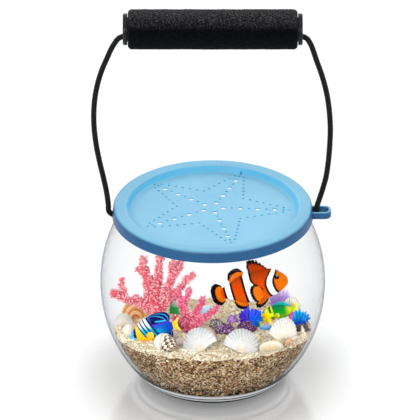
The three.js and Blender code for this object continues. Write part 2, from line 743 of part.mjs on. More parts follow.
// A ribbed fan shell: a domed sheet that opens from its hinge, with the dome facing the front.
function scallop({ width, height, dome, ribs }) {
  const [across, along, shell] = [2 * ribs, 4, 1];
  const surface = (inset) => (side, out, rib) => {
    const angle = (side * Math.PI) / 2.1;
    const reach = (height - inset) * out * (1 + 0.03 * rib * out);
    const swell = Math.sin(Math.PI * (0.18 + 0.75 * out)) * (1 - 0.55 * side * side);
    const spread = (reach * Math.sin(angle) * width) / (2 * height);
    return point(spread, -(dome - inset) * swell - inset * 0.1, reach * Math.cos(angle * 0.9));
  };
  const grid = (at) =>
    Array.from({ length: across + 1 }, (_, i) =>
      Array.from({ length: along + 1 }, (_, j) =>
        at((2 * i) / across - 1, 0.1 + (0.9 * j) / along, i % 2 ? 1 : -1),
      ),
    );
  return solidOf(thickSheet(grid(surface(0)), grid(surface(shell))));
}

const frontScallop = { width: 23, height: 16.5, dome: 7.5, ribs: 6 };
const scallops = [
  ["scallop_front_left", shellWhite, frontScallop, { at: [-0.1, -0.8], lean: -42, tilt: -26, sink: 1 }],
  ["scallop_front_right", shellWhite, frontScallop, { at: [0.265, -0.81], lean: -42, tilt: 16, sink: 1 }],
  ["scallop_right", shellCream, { width: 18, height: 16, dome: 6.5, ribs: 6 },
    { at: [0.68, -0.46], lean: -28, tilt: 18, sink: 1 }],
  ["scallop_back_left", shellBrown, { width: 19, height: 13, dome: 5, ribs: 6 },
    { at: [-0.77, 0.26], lean: -32, tilt: -8, sink: 1 }],
  ["scallop_back_right", shellCream, { width: 13, height: 12, dome: 4, ribs: 6 },
    { at: [0.78, 0.38], lean: -16, tilt: 10, sink: 1 }],
  ["scallop_left", shellCream, { width: 12, height: 9, dome: 4, ribs: 5 },
    { at: [-0.89, -0.02], lean: -45, tilt: -10, sink: 0.5 }],
];
for (const [name, material, sizes, where] of scallops) seat(name, scallop(sizes), material, where);

// A coiled shell: rounded whorls that shrink towards the point, lying along X, half sunk in the sand.
function spiralShell({ length, radius, whorls }) {
  const steps = 2 * whorls;
  const whorl = (_, i) => {
    const share = i / steps;
    const taper = Math.sin(Math.PI * (0.16 + 0.82 * share)) ** 0.8;
    return [radius * taper * (i % 2 ? 0.9 : 1.08), length * (share - 0.5) * 0.94];
  };
  const profile = [[0, -length / 2], ...Array.from({ length: steps + 1 }, whorl), [0, length / 2]];
  return solidOf(turnedAlongX(profile, 10).translate(0, 0, 0.75 * radius));
}

const spiralSizes = { length: 17, radius: 6, whorls: 4 };
const pointedSizes = { length: 13, radius: 4, whorls: 4 };
const spiralPlace = { at: [-0.46, -0.75], turn: -30, tilt: 2 };
const pointedPlace = { at: [0.9, -0.24], turn: 100, tilt: -55 };
seat("spiral_shell", spiralShell(spiralSizes), shellBrown, spiralPlace);
seat("pointed_shell", spiralShell(pointedSizes), shellCream, pointedPlace);

// Rounded pieces: cowries, a clam, pebbles, rocks and sea glass, as stretched and roughened balls

const bare = 0.22; // how far the middle of a rounded piece stands above the sand, as a share of its height

function lump([long, wide, tall], rough, seed) {
  const made = new THREE.IcosahedronGeometry(1, 1);
  const at = made.attributes.position;
  for (let i = 0; i < at.count; i++) {
    const [x, y, z] = [at.getX(i), at.getY(i), at.getZ(i)];
    const bump = 1 + rough * Math.sin(5 * x + seed) * Math.cos(4 * y - seed) * Math.sin(6 * z + 2 * seed);
    at.setXYZ(i, (x * bump * long) / 2, (y * bump * wide) / 2, (z * bump * tall) / 2);
  }
  return solidOf(made.translate(0, 0, bare * tall));
}

const lumps = [
  ["cowrie_small", shellWhite, [8, 6, 6], 0, { at: [-0.34, -0.6], turn: 20 }],
  ["cowrie_left", shellWhite, [8, 7, 9.5], 0, { at: [-0.84, -0.26] }],
  ["clam_shell", shellCream, [14.5, 9, 6], 0.05, { at: [0.575, -0.76], turn: 20 }],
  ["shell_brown", shellBrown, [6, 4.5, 8.5], 0.04, { at: [0.75, -0.61], tilt: 20 }],
  ["rock_purple_front", rockPurple, [12.5, 8, 9], 0.2, { at: [0.12, -0.22] }],
  ["rock_purple_right", rockPurple, [12, 7, 9], 0.22, { at: [0.34, -0.17], turn: -10 }],
  ["rock_grey", rockGrey, [9, 7, 8], 0.2, { at: [0.04, -0.02] }],
  ["rock_lilac", plantPurple, [7, 6, 8], 0.2, { at: [0.2, 0.11] }],
  ["rock_dark", rockGrey, [8.5, 5, 7], 0.2, { at: [0.9, -0.11] }],
  ["pebble_blue", anemoneCyan, [8, 5, 4], 0.08, { at: [0.54, -0.08], turn: 12 }],
  ["sea_glass_green", glassGreen, [11, 6, 13], 0.12, { at: [-0.35, 0.4], turn: 15 }],
  ["sea_glass_blue", glassBlue, [10, 6, 8], 0.1, { at: [-0.06, 0.42], turn: -15 }],
];
lumps.forEach(([name, material, sizes, rough, where], i) => {
  seat(name, lump(sizes, rough, i), material, where);
});

export default tank;
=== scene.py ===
import math

import bmesh
import bpy
import numpy as np
from mathutils import Euler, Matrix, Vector, noise


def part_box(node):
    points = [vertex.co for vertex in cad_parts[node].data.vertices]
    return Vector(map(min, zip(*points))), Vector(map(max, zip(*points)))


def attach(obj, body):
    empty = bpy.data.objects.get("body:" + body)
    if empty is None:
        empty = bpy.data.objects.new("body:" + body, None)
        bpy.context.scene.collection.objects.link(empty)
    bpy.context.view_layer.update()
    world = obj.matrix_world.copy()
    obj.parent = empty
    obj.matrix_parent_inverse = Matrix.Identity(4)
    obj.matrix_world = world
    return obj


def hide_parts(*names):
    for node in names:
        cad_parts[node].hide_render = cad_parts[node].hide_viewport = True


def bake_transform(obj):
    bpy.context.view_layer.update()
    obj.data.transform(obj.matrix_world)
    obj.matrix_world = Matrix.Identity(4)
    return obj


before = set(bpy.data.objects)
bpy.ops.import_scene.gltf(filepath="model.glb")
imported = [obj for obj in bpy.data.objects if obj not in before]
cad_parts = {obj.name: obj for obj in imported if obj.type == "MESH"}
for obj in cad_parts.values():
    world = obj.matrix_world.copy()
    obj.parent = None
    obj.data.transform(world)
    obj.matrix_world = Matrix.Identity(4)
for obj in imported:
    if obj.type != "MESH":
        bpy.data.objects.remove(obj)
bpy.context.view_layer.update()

# Camera: a long lens looks down on the front of the tank, so that its sides stay nearly parallel.
# It takes in a field of a little over a quarter of a metre where the tank stands.
mm = 0.001
lens_distance = 10000 * mm
lens_rise = math.radians(28)
field_width = 262.5 * mm
field_middle = Vector((-1.7, 0, 116.8)) * mm
film_width = 36

camera = bpy.data.objects.new("camera", bpy.data.cameras.new("camera"))
bpy.context.scene.collection.objects.link(camera)
camera.data.sensor_width = film_width
camera.data.lens = film_width * lens_distance / field_width
camera.location = field_middle + lens_distance * Vector((0, -math.cos(lens_rise), math.sin(lens_rise)))
camera.rotation_euler = (math.pi / 2 - lens_rise, 0, 0)
bpy.context.scene.camera = camera
bpy.context.scene.view_settings.view_transform = "Standard"

# Carry cord: one length of black braided polyester, crimped inside the lid's channel on the left,
# up through the bore of the grip, and down to a second crimp on the right. The stiff braid stands
# up by itself in a wide bow.
cord_diameter = 3.5 * mm
cord_length = 377 * mm
cord_left = [
    [65.6, 124], [66.3, 129.5], [67.3, 135], [68.5, 141], [70.8, 152], [72.7, 163.2], [73.9, 174.5],
    [74.1, 185.8], [73.2, 197.1], [71, 208.5], [68.4, 217], [65.6, 224], [63.2, 230], [61, 234.2],
    [58.3, 237.7],
]
cord_right = [
    [66.3, 123.5], [68, 129.2], [69.5, 134.9], [70.8, 140.5], [72.2, 151.8], [73, 163.2],
    [73.3, 174.5], [72.7, 185.8], [71.3, 197.1], [68.8, 208.5], [66.6, 216], [64.6, 222],
    [62.8, 228], [61, 233.2], [58.3, 237.6],
]
cord_in_lid = [[60.6, 113.5], [62.6, 113.7], [64.2, 115], [65, 116.3], [65.2, 117.4], [65.2, 119.6]]
cord_in_grip = [[54, 239.45], [50.5, 239.65], [45.9, 239.65]]
cord_step = 0.45  # in mm, as the route is
cord_sides = 32
strands = 8  # wound each way
strand_lead = 22 * mm  # one turn of a strand
strand_dip = 0.12  # how far the braid dips between strands, as a share of its radius


def smooth_path(points, step):
    """Places every step along a smooth curve through the given ones."""
    points = np.array(points, float)
    run = np.vstack([2 * points[0] - points[1], points, 2 * points[-1] - points[-2]])
    t = np.linspace(0, 1, 30, endpoint=False)[:, None]
    curve = []
    for a, b, c, d in zip(run, run[1:], run[2:], run[3:]):
        ab, bc, cd = (np.linalg.norm(q - p) ** 0.5 for p, q in ((a, b), (b, c), (c, d)))
        leave = ((b - a) / ab - (c - a) / (ab + bc) + (c - b) / bc) * bc
        arrive = ((c - b) / bc - (d - b) / (bc + cd) + (d - c) / cd) * bc
        ends = (2 * t**3 - 3 * t**2 + 1) * b + (3 * t**2 - 2 * t**3) * c
        curve.append(ends + (t**3 - 2 * t**2 + t) * leave + (t**3 - t**2) * arrive)
    curve = np.vstack(curve + [points[-1:]])
    along = np.concatenate([[0], np.cumsum(np.linalg.norm(np.diff(curve, axis=0), axis=1))])
    even = np.linspace(0, along[-1], max(2, round(along[-1] / step) + 1))
    return np.column_stack([np.interp(even, along, column) for column in curve.T])


def round_angles(count):
    """Even angles of one full turn."""
    return np.linspace(0, 2 * math.pi, count, endpoint=False)


def tube_rings(path, radii, sides):
    """Rings of points round a path, turned as little as the path allows; radii may vary by side."""
    path = np.array(path, float)
    ahead = np.gradient(path, axis=0)
    ahead /= np.linalg.norm(ahead, axis=1)[:, None]
    across = np.cross(ahead[0], (0.0, 1.0, 0.0) if abs(ahead[0][1]) < 0.9 else (1.0, 0.0, 0.0))
    angles = round_angles(sides)[:, None]
    radii = np.broadcast_to(np.array(radii, float).reshape(len(path), -1), (len(path), sides))
    rings = []
    for place, heading, reach in zip(path, ahead, radii):
        across = across - heading * np.dot(across, heading)
        across /= np.linalg.norm(across)
        up = np.cross(heading, across)
        rings.append(place + reach[:, None] * (np.cos(angles) * across + np.sin(angles) * up))
    return np.array(rings)


def grid_faces(rows, columns):
    """Four-cornered faces over rows of points, joined round their columns."""
    return [
        (i * columns + j, i * columns + (j + 1) % columns,
         (i + 1) * columns + (j + 1) % columns, (i + 1) * columns + j)
        for i in range(rows - 1) for j in range(columns)
    ]


def loft(rings):
    """A closed skin over a row of rings."""
    rows, columns = rings.shape[:2]
    last = (rows - 1) * columns
    ends = [tuple(range(columns))[::-1], tuple(range(last, last + columns))]
    return rings.reshape(-1, 3), grid_faces(rows, columns) + ends


def add_piece(name, points, faces, crease=None):
    """A mesh piece in place, smooth except along edges that turn by more than the crease angle."""
    mesh = bpy.data.meshes.new(name)
    mesh.from_pydata(np.asarray(points).tolist(), [], faces)
    mesh.shade_smooth()
    if crease:
        mesh.set_sharp_from_angle(angle=math.radians(crease))
    piece = bpy.data.objects.new(name, mesh)
    bpy.context.scene.collection.objects.link(piece)
    return piece


def paint(piece, colours):
    """A colour for each point of a piece, which its finish picks up."""
    layer = piece.data.color_attributes.new("paint", "FLOAT_COLOR", "POINT")
    colours = np.column_stack([np.asarray(colours, float)[:, :3], np.ones(len(colours))])
    layer.data.foreach_set("color", colours.ravel())


def colour(code):
    """A colour from its six-figure screen code."""
    levels = [int(code[i:i + 2], 16) / 255 for i in (0, 2, 4)]
    return np.array([v / 12.92 if v < 0.04045 else ((v + 0.055) / 1.055) ** 2.4 for v in levels] + [1])


def node_adder(tree):
    """A function that adds a node to a tree, with its settings, and its inputs set or linked."""
    def add(kind, inputs=None, **settings):
        made = tree.nodes.new("ShaderNode" + kind)
        for setting, value in settings.items():
            setattr(made, setting, value)
        for socket, value in (inputs or {}).items():
            if isinstance(value, bpy.types.NodeSocket):
                tree.links.new(value, made.inputs[socket])
            else:
                made.inputs[socket].default_value = value
        return made
    return add


def new_finish(name, **sockets):
    """A material with its shader's own sockets set, and functions that add nodes and wire them to it."""
    material = bpy.data.materials.new(name)
    material.use_nodes = True
    tree = material.node_tree
    shader = tree.nodes["Principled BSDF"]
    for socket, value in sockets.items():
        shader.inputs[socket.replace("_", " ")].default_value = value

    def wire(socket, value):
        tree.links.new(value, shader.inputs[socket])

    return material, node_adder(tree), wire


def surface_place(add):
    return add("TexCoord").outputs["Object"]


def cloudy(add, place, scale, detail=2.0):
    """Soft noise over a surface, from 0 to 1."""
    return add("TexNoise", {"Vector": place, "Scale": scale, "Detail": detail}).outputs["Fac"]


def ramp(add, factor, *stops, blend="LINEAR"):
    """Colours along a factor, from pairs of place and colour code."""
    made = add("ValToRGB", {"Fac": factor})
    made.color_ramp.interpolation = blend
    while len(made.color_ramp.elements) < len(stops):
        made.color_ramp.elements.new(0.5)
    for element, (place, code) in zip(made.color_ramp.elements, stops):
        element.position = place
        element.color = colour(code)
    return made.outputs["Color"]


def mixed(add, factor, below, above, blend="MIX"):
    """One colour laid over another by a factor."""
    return add("Mix", {"Factor": factor, 6: below, 7: above}, data_type="RGBA", blend_type=blend).outputs[2]


def emboss(add, wire, height, strength, depth, **settings):
    """Relief too fine for the mesh."""
    relief = add("Bump", {"Height": height, "Strength": strength, "Distance": depth}, **settings)
    wire("Normal", relief.outputs["Normal"])


def braid_finish():
    material, add, wire = new_finish("black_braid", Roughness=0.7, Specular_IOR_Level=0.15, Sheen_Weight=0.03)
    tint = add("Attribute", attribute_name="paint").outputs["Color"]
    fibre = cloudy(add, surface_place(add), 5200.0)
    lift = ramp(add, fibre, (0.35, "8a8a8a"), (0.7, "ffffff"))
    wire("Base Color", mixed(add, 0.5, tint, lift, "MULTIPLY"))
    emboss(add, wire, fibre, 0.4, 0.15 * mm)
    return material


def carry_cord():
    left, right = (cord_in_lid + half + cord_in_grip for half in (cord_left, cord_right))
    route = [[-x, 0, z] for x, z in left] + [[x, 0, z] for x, z in right[::-1]]
    path = smooth_path(route, cord_step) * mm
    along = np.linspace(0, cord_length, len(path))[:, None]
    angle = round_angles(cord_sides)[None, :]
    turn = 2 * math.pi * along / strand_lead
    one_way = strands / 2 * (angle - turn)
    other_way = strands / 2 * (angle + turn)
    on_top = np.sin(one_way + other_way) * np.sin(one_way - other_way) > 0
    ridge = np.where(on_top, np.abs(np.cos(one_way)), np.abs(np.cos(other_way)))
    radii = cord_diameter / 2 * (1 - strand_dip + strand_dip * np.sqrt(ridge))
    piece = add_piece("carry_cord_braid", *loft(tube_rings(path, radii, cord_sides)))
    fleck = (np.cos(3 * one_way) > 0.75) & on_top & (ridge > 0.6)
    shade = np.where(fleck[..., None], colour("3a3d42"), colour("060709"))
    # Painted shade: each strand is darker down in the dips between strands.
    paint(piece, (shade * (0.55 + 0.45 * ridge[..., None])).reshape(-1, 4))
    piece.data.materials.append(braid_finish())
    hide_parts("carry_cord", "cord_end_left", "cord_end_right")
    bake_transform(piece)


carry_cord()

# Bowl: a clear round tank blow-moulded in one piece from hard plastic, about 2 mm thick, with a
# heavier flat base that is hollowed a little underneath and a short neck for the push-on lid.
bowl_low, bowl_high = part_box("bowl")
bowl_radius = (bowl_high.x - bowl_low.x) / 2
bowl_height = bowl_high.z
belly_height = 66.5 * mm
bowl_wall = 2 * mm
base_thickness = 7.5 * mm
painted_lines_top = 11.5 * mm  # up to here the base is painted with light and dark lines, painted reflections and painted shade
foot_radius = 36 * mm
foot_flare = 3.7 * mm
foot_hollow = 1.2 * mm
neck_radius = 57.9 * mm
neck_foot = bowl_height - 7.3 * mm
shoulder_step = 1.4 * mm
bowl_segments = 160
lip_rows = 4  # rows of faces on each side of the lip's top


def rise_to(radius, height):
    """Half height of the oval that runs from the belly to a radius at a height."""
    return abs(height - belly_height) / math.sqrt(1 - (radius / bowl_radius) ** 2)


low_rise = rise_to(foot_radius + foot_flare, 0)
high_rise = rise_to(neck_radius + shoulder_step, neck_foot)


def side_radius(height, taken_in=0.0):
    """Radius of the bowl's side at a height, taken in by a distance."""
    rise = (low_rise if height < belly_height else high_rise) - taken_in
    return (bowl_radius - taken_in) * math.sqrt(max(0, 1 - ((height - belly_height) / rise) ** 2))


def round_corner(corner, before, after, radius, steps=6):
    """Points that round off a corner of a profile between the points before and after it."""
    corner, before, after = (np.array(p, float) for p in (corner, before, after))
    start = corner + (before - corner) / np.linalg.norm(before - corner) * radius
    end = corner + (after - corner) / np.linalg.norm(after - corner) * radius
    t = np.linspace(0, 1, steps)[:, None]
    return ((1 - t) ** 2 * start + 2 * t * (1 - t) * corner + t**2 * end).tolist()


def turned(profile, segments):
    """A skin turned about +Z from a profile of radius and height that starts and ends on the axis."""
    profile = np.array(profile, float)
    radius, height = profile[1:-1, :1], profile[1:-1, 1:]
    angle = round_angles(segments)[None, :]
    rings = np.stack([radius * np.cos(angle), radius * np.sin(angle), height + 0 * angle], axis=-1)
    count = rings.shape[0] * segments
    points = np.vstack([rings.reshape(-1, 3), [[0, 0, profile[0][1]], [0, 0, profile[-1][1]]]])
    last = count - segments
    faces = grid_faces(len(radius), segments)
    for j in range(segments):
        k = (j + 1) % segments
        faces += [(count, k, j), (count + 1, last + j, last + k)]
    return points, faces


def clear_finish(name, tint, **sockets):
    """Clear plastic that lets light straight through to what lies behind it, tinted by added nodes."""
    settings = {"Roughness": 0.01, "IOR": 1.03, "Transmission_Weight": 1.0, "Coat_Weight": 0.06,
                "Coat_Roughness": 0.02, "Coat_IOR": 1.3}
    material, add, wire = new_finish(name, **{**settings, **sockets})
    wire("Base Color", tint(add))
    tree = material.node_tree
    shadow = add("LightPath").outputs["Is Shadow Ray"]
    through = add("BsdfTransparent").outputs["BSDF"]
    shader = tree.nodes["Principled BSDF"].outputs["BSDF"]
    whole = add("MixShader", {0: shadow, 1: shader, 2: through})
    tree.links.new(whole.outputs["Shader"], tree.nodes["Material Output"].inputs["Surface"])
    return material


def edge_tint(add):
    """Painted shade: darker towards the outline, where the wall is seen edge on."""
    return ramp(
        add, add("LayerWeight", {"Blend": 0.5}).outputs["Facing"], (0.0, "fafbfb"), (0.3, "f7f8f8"),
        (0.39, "f3f4f4"), (0.49, "eeeff0"), (0.553, "eaebec"), (0.632, "e3e4e6"), (0.679, "dcdee1"),
        (0.736, "d0d3d7"), (0.813, "a3a7ac"), (0.867, "6c7076"), (0.93, "484c52"), (1.0, "404449"),
    )


def inner_tint(add):
    """Nearly colourless, with a faint cloud from the moulding."""
    return ramp(add, cloudy(add, surface_place(add), 30.0), (0.3, "fcfdfd"), (0.7, "ffffff"))


def lip_tint(add):
    """Painted shade: grey like a thick edge, which gathers the light of the whole wall."""
    return ramp(add, cloudy(add, surface_place(add), 45.0), (0.3, "98a2ac"), (0.7, "c6ced6"))


def axis_share(add, vector, axis):
    """How far a vector reaches along X, Y or Z."""
    return add("SeparateXYZ", {"Vector": vector}).outputs[axis]


def span(add, value, low, high, first=0.0, last=1.0, **settings):
    """A value taken from one span to another, and held at its ends."""
    inputs = {"Value": value, "From Min": low, "From Max": high, "To Min": first, "To Max": last}
    return add("MapRange", inputs, **settings).outputs["Result"]


def painted_base_lines(add):
    """Painted reflections and painted shade: light and dark lines one above the other on the thick base,
    darkest along its bottom.
    """
    return ramp(
        add, span(add, axis_share(add, surface_place(add), "Z"), 0.0, painted_lines_top), (0.0, "06080a"),
        (0.43, "080a0e"), (0.5, "f8fafd"), (0.6, "f8fafd"), (0.65, "2a323c"), (0.71, "323a44"),
        (0.76, "fafcfe"), (0.94, "f6f9fc"), (1.0, "c0c4c8"),
    )


def bowl():
    outer = [[side_radius(z), z] for z in np.linspace(3 * mm, neck_foot - 1.2 * mm, 48)]
    inner = [[side_radius(z, bowl_wall), z] for z in np.linspace(11 * mm, neck_foot - bowl_wall, 44)]
    floor_edge = side_radius(base_thickness, bowl_wall)
    hollow_edge = [foot_radius - 9 * mm, foot_hollow]
    foot_inside = [foot_radius - 5 * mm, 0]
    foot_outside = [foot_radius + foot_flare * 0.55, 0]
    rim = bowl_wall / 2
    lip = [
        [neck_radius - rim + rim * math.cos(a), bowl_height - rim + rim * math.sin(a)]
        for a in np.linspace(0, math.pi, 9)
    ]
    profile = (
        [[0, foot_hollow], hollow_edge]
        + round_corner(foot_inside, hollow_edge, foot_outside, 3 * mm)
        + round_corner(foot_outside, foot_inside, outer[0], 2.2 * mm)
        + outer
        + round_corner([neck_radius, neck_foot], outer[-1], [neck_radius, bowl_height], 0.9 * mm)
        + lip
    )
    lip_top = len(profile) - 5
    base_top = sum(z < painted_lines_top for _, z in profile[:lip_top])
    profile += (
        [[neck_radius - bowl_wall, neck_foot + 1 * mm]]
        + inner[::-1]
        + round_corner([floor_edge, base_thickness], inner[0], [0, base_thickness], 3 * mm, 8)
        + [[floor_edge * 0.5, base_thickness], [0, base_thickness]]
    )
    piece = add_piece("bowl_shell", *turned(profile, bowl_segments), crease=50)
    for finish in (
        clear_finish("clear_plastic_outside", edge_tint), clear_finish("clear_plastic", inner_tint),
        clear_finish("clear_plastic_base", painted_base_lines, Transmission_Weight=0.2, Roughness=0.12,
                     Specular_IOR_Level=0.1),
        clear_finish("clear_plastic_lip", lip_tint, Transmission_Weight=0.45, Roughness=0.1),
    ):
        piece.data.materials.append(finish)
    rows = len(profile) - 3
    for face in piece.data.polygons:
        row = face.index // bowl_segments + 1
        if face.index >= rows * bowl_segments:
            row = 0 if face.index % 2 == 0 else len(profile)
        upper = 0 if row < lip_top - lip_rows else 3 if row < lip_top + lip_rows else 1
        face.material_index = 2 if row < base_top else upper
    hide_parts("bowl")
    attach(piece, "tank")


bowl()

# Sand bed: washed coral sand in grains of about a millimetre, beige with white, tan, brown and
# black ones among them. It is poured in dry against the wall and lies higher towards the front.
sand_depth = 34 * mm
sand_slope = 0.18
sand_ripple = 0.7 * mm
sand_ripple_pitch = 11 * mm
sand_gap = 0.3 * mm
sand_grain = 1.15 * mm
sand_reach = side_radius(sand_depth, bowl_wall)
painted_light_front = "e8e1d2"  # painted light: the sand's tone by the front wall, and a lighter one behind it
painted_light_behind = "fff5df"
painted_light_front_end = -55 * mm
painted_light_behind_start = -15 * mm
painted_wall_shade = "d0cdcc"  # painted shade: darkens the sand where it faces sideways against the wall
painted_top_light_power = 0.34  # painted light: lightens the sand where it faces up
grain_colours = [
    ("ece0c9", 0.24), ("d6c2a0", 0.25), ("bb9d75", 0.19), ("8f6e48", 0.12), ("fbf6ea", 0.1), ("4f3c2c", 0.05),
    ("bf7a34", 0.035), ("241f1d", 0.015),
]
crumb_colours = [("fcf5e6", 0.48), ("efdcb8", 0.3), ("cda56a", 0.15), ("7c5a38", 0.07)]
pebble_colours = [
    ("f6efe0", 0.28), ("cfb78f", 0.2), ("b4682a", 0.2), ("8a6a48", 0.16), ("3a2e28", 0.1), ("d99a55", 0.06),
]
grains_on_top, grains_at_wall = 4600, 3000
pebbles_on_top, pebbles_at_wall = 150, 420
crumbs_on_top, crumbs_at_rim = 1000, 420


def sand_height(x, y):
    """Height of the sand's surface at a place in plan."""
    ripple = np.sin(x / sand_ripple_pitch) * np.cos(y / sand_ripple_pitch + 1)
    return sand_depth - sand_slope * y + sand_ripple * ripple


def grain_dome(place):
    """How far the surface of the nearest grain bulges at a place, from 0 to 1."""
    near = noise.voronoi(Vector(place) / sand_grain)[0][0]
    return math.sqrt(max(0, 1 - near * near * 1.6))


def ball(level):
    """Points and faces of a round ball of unit radius."""
    made = bmesh.new()
    bmesh.ops.create_icosphere(made, subdivisions=level, radius=1)
    made.verts.index_update()
    points = np.array([v.co[:] for v in made.verts])
    faces = [[v.index for v in face.verts] for face in made.faces]
    made.free()
    return points, faces


def scattered(shape, places, sizes, draw, up=None):
    """Copies of a shape at many places, stretched by their own sizes and turned at random or to stand up."""
    points, faces = shape[0], np.array(shape[1])
    spin = draw.normal(size=(len(places), 4))
    w, x, y, z = (spin / np.linalg.norm(spin, axis=1)[:, None]).T
    turn = np.array([
        [1 - 2 * (y * y + z * z), 2 * (x * y - w * z), 2 * (x * z + w * y)],
        [2 * (x * y + w * z), 1 - 2 * (x * x + z * z), 2 * (y * z - w * x)],
        [2 * (x * z - w * y), 2 * (y * z + w * x), 1 - 2 * (x * x + y * y)],
    ]).transpose(2, 0, 1)
    if up is not None:
        across = np.cross(up, turn[:, :, 0])
        across /= np.linalg.norm(across, axis=1)[:, None]
        turn = np.stack([across, np.cross(up, across), up], axis=2)
    moved = np.einsum("nij,npj->npi", turn, points[None] * sizes[:, None, :]) + places[:, None, :]
    shifted = faces[None] + len(points) * np.arange(len(places))[:, None, None]
    return moved.reshape(-1, 3), shifted.reshape(-1, faces.shape[1]).tolist()


def sand_finish():
    material, add, wire = new_finish("coral_sand", Roughness=0.9, Specular_IOR_Level=0.25)
    place = surface_place(add)
    cells = add("TexVoronoi", {"Vector": place, "Scale": 1 / sand_grain}).outputs
    pick = add("SeparateColor", {"Color": cells["Color"]}).outputs["Red"]
    shares = np.cumsum([0] + [weight for _, weight in grain_colours])
    stops = [(share, code) for share, (code, _) in zip(shares, grain_colours)]
    grain = ramp(add, pick, *stops, blend="CONSTANT")
    dust = ramp(add, cloudy(add, place, 120.0, 4.0), (0.3, "c9bfae"), (0.7, "ffffff"))
    grain = mixed(add, 0.7, grain, dust, "MULTIPLY")
    # Painted light: the sand turns from its front tone to a lighter one towards the back.
    back = span(add, axis_share(add, place, "Y"), painted_light_front_end, painted_light_behind_start)
    painted_light_cast = ramp(add, back, (0.0, painted_light_front), (1.0, painted_light_behind))
    # Painted light on the faces that look up, painted shade on those that face sideways against the wall.
    pale = add("Gamma", {"Color": grain, "Gamma": painted_top_light_power}).outputs["Color"]
    painted_lit_sand = mixed(add, 1.0, pale, painted_light_cast, "MULTIPLY")
    dark = add("Gamma", {"Color": grain, "Gamma": 1.9}).outputs["Color"]
    painted_shaded_sand = mixed(add, 1.0, dark, colour(painted_wall_shade), "MULTIPLY")
    upward = axis_share(add, add("NewGeometry").outputs["Normal"], "Z")
    wire("Base Color", mixed(add, span(add, upward, -0.2, 0.7, 1.0, 0.0), painted_lit_sand, painted_shaded_sand))
    emboss(add, wire, cells["Distance"], 0.8, 0.4 * mm, invert=True)
    return material


def painted_finish(name, mottle=0.3, mottle_scale=600.0, bump=0.1 * mm, bump_scale=2500.0, **sockets):
    """A finish that shows a piece's painted colours with a fine mottle and grain over them."""
    material, add, wire = new_finish(name, **sockets)
    tint = add("Attribute", attribute_name="paint").outputs["Color"]
    place = surface_place(add)
    shade = ramp(add, cloudy(add, place, mottle_scale, 4.0), (0.3, "9a9a9a"), (0.65, "ffffff"))
    wire("Base Color", mixed(add, mottle, tint, shade, "MULTIPLY"))
    emboss(add, wire, cloudy(add, place, bump_scale, 3.0), 0.5, bump)
    return material


def wall_radii(heights):
    """Radius of the sand's outside at each height."""
    return np.array([side_radius(z, bowl_wall + sand_gap) for z in heights])


def sand_rim(angles):
    """Radius at which the sand's surface meets the wall, for each angle round the bowl."""
    radius = np.full(len(angles), sand_reach)
    for _ in range(12):
        radius = wall_radii(sand_height(radius * np.cos(angles), radius * np.sin(angles)))
    return radius


def cloud(places, size):
    """Smooth noise at each place, from about -1 to 1."""
    return np.array([noise.noise(Vector(place) / size) for place in places])


def sand_bed():
    segments, top_rows, side_rows = 400, 70, 36
    floor = base_thickness + sand_gap
    angles = round_angles(segments)

    def ring(radius, heights):
        return np.column_stack([radius * np.cos(angles), radius * np.sin(angles), heights])

    rim = sand_rim(angles)
    uneven = 1.2 * mm * cloud(ring(16, 0 * angles), 1)
    rim_height = sand_height(rim * np.cos(angles), rim * np.sin(angles)) + uneven
    floor_radius = side_radius(floor + 4 * mm, bowl_wall + sand_gap)
    rings = [ring(floor_radius * share, np.full(segments, floor)) for share in (0.05, 0.6, 0.93)]
    side_end = (len(rings) + side_rows) * segments
    side_foot = floor + 2.2 * mm
    for share in np.linspace(0, 1, side_rows):
        heights = side_foot + (rim_height - side_foot) * share
        dome = 1 - 0.35 * (1 - share) ** 6
        rings.append(ring(wall_radii(heights) * dome ** 0.2, heights))
    for share in np.linspace(1, 0.01, top_rows)[1:]:
        heights = sand_height(rim * share * np.cos(angles), rim * share * np.sin(angles)) + uneven * share**12
        rings.append(ring(rim * share, heights))
    points, faces = loft(np.array(rings))
    for i, place in enumerate(points):
        hollow = 1 - grain_dome(place)
        if i < side_end:
            points[i, :2] *= 1 - 0.35 * mm * hollow / max(place[0] ** 2 + place[1] ** 2, 1e-6) ** 0.5
        else:
            points[i, 2] -= 0.7 * mm * hollow
    piece = add_piece("sand_bed_body", points, faces)
    piece.data.materials.append(sand_finish())
    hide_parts("sand_bed")
    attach(piece, "tank")


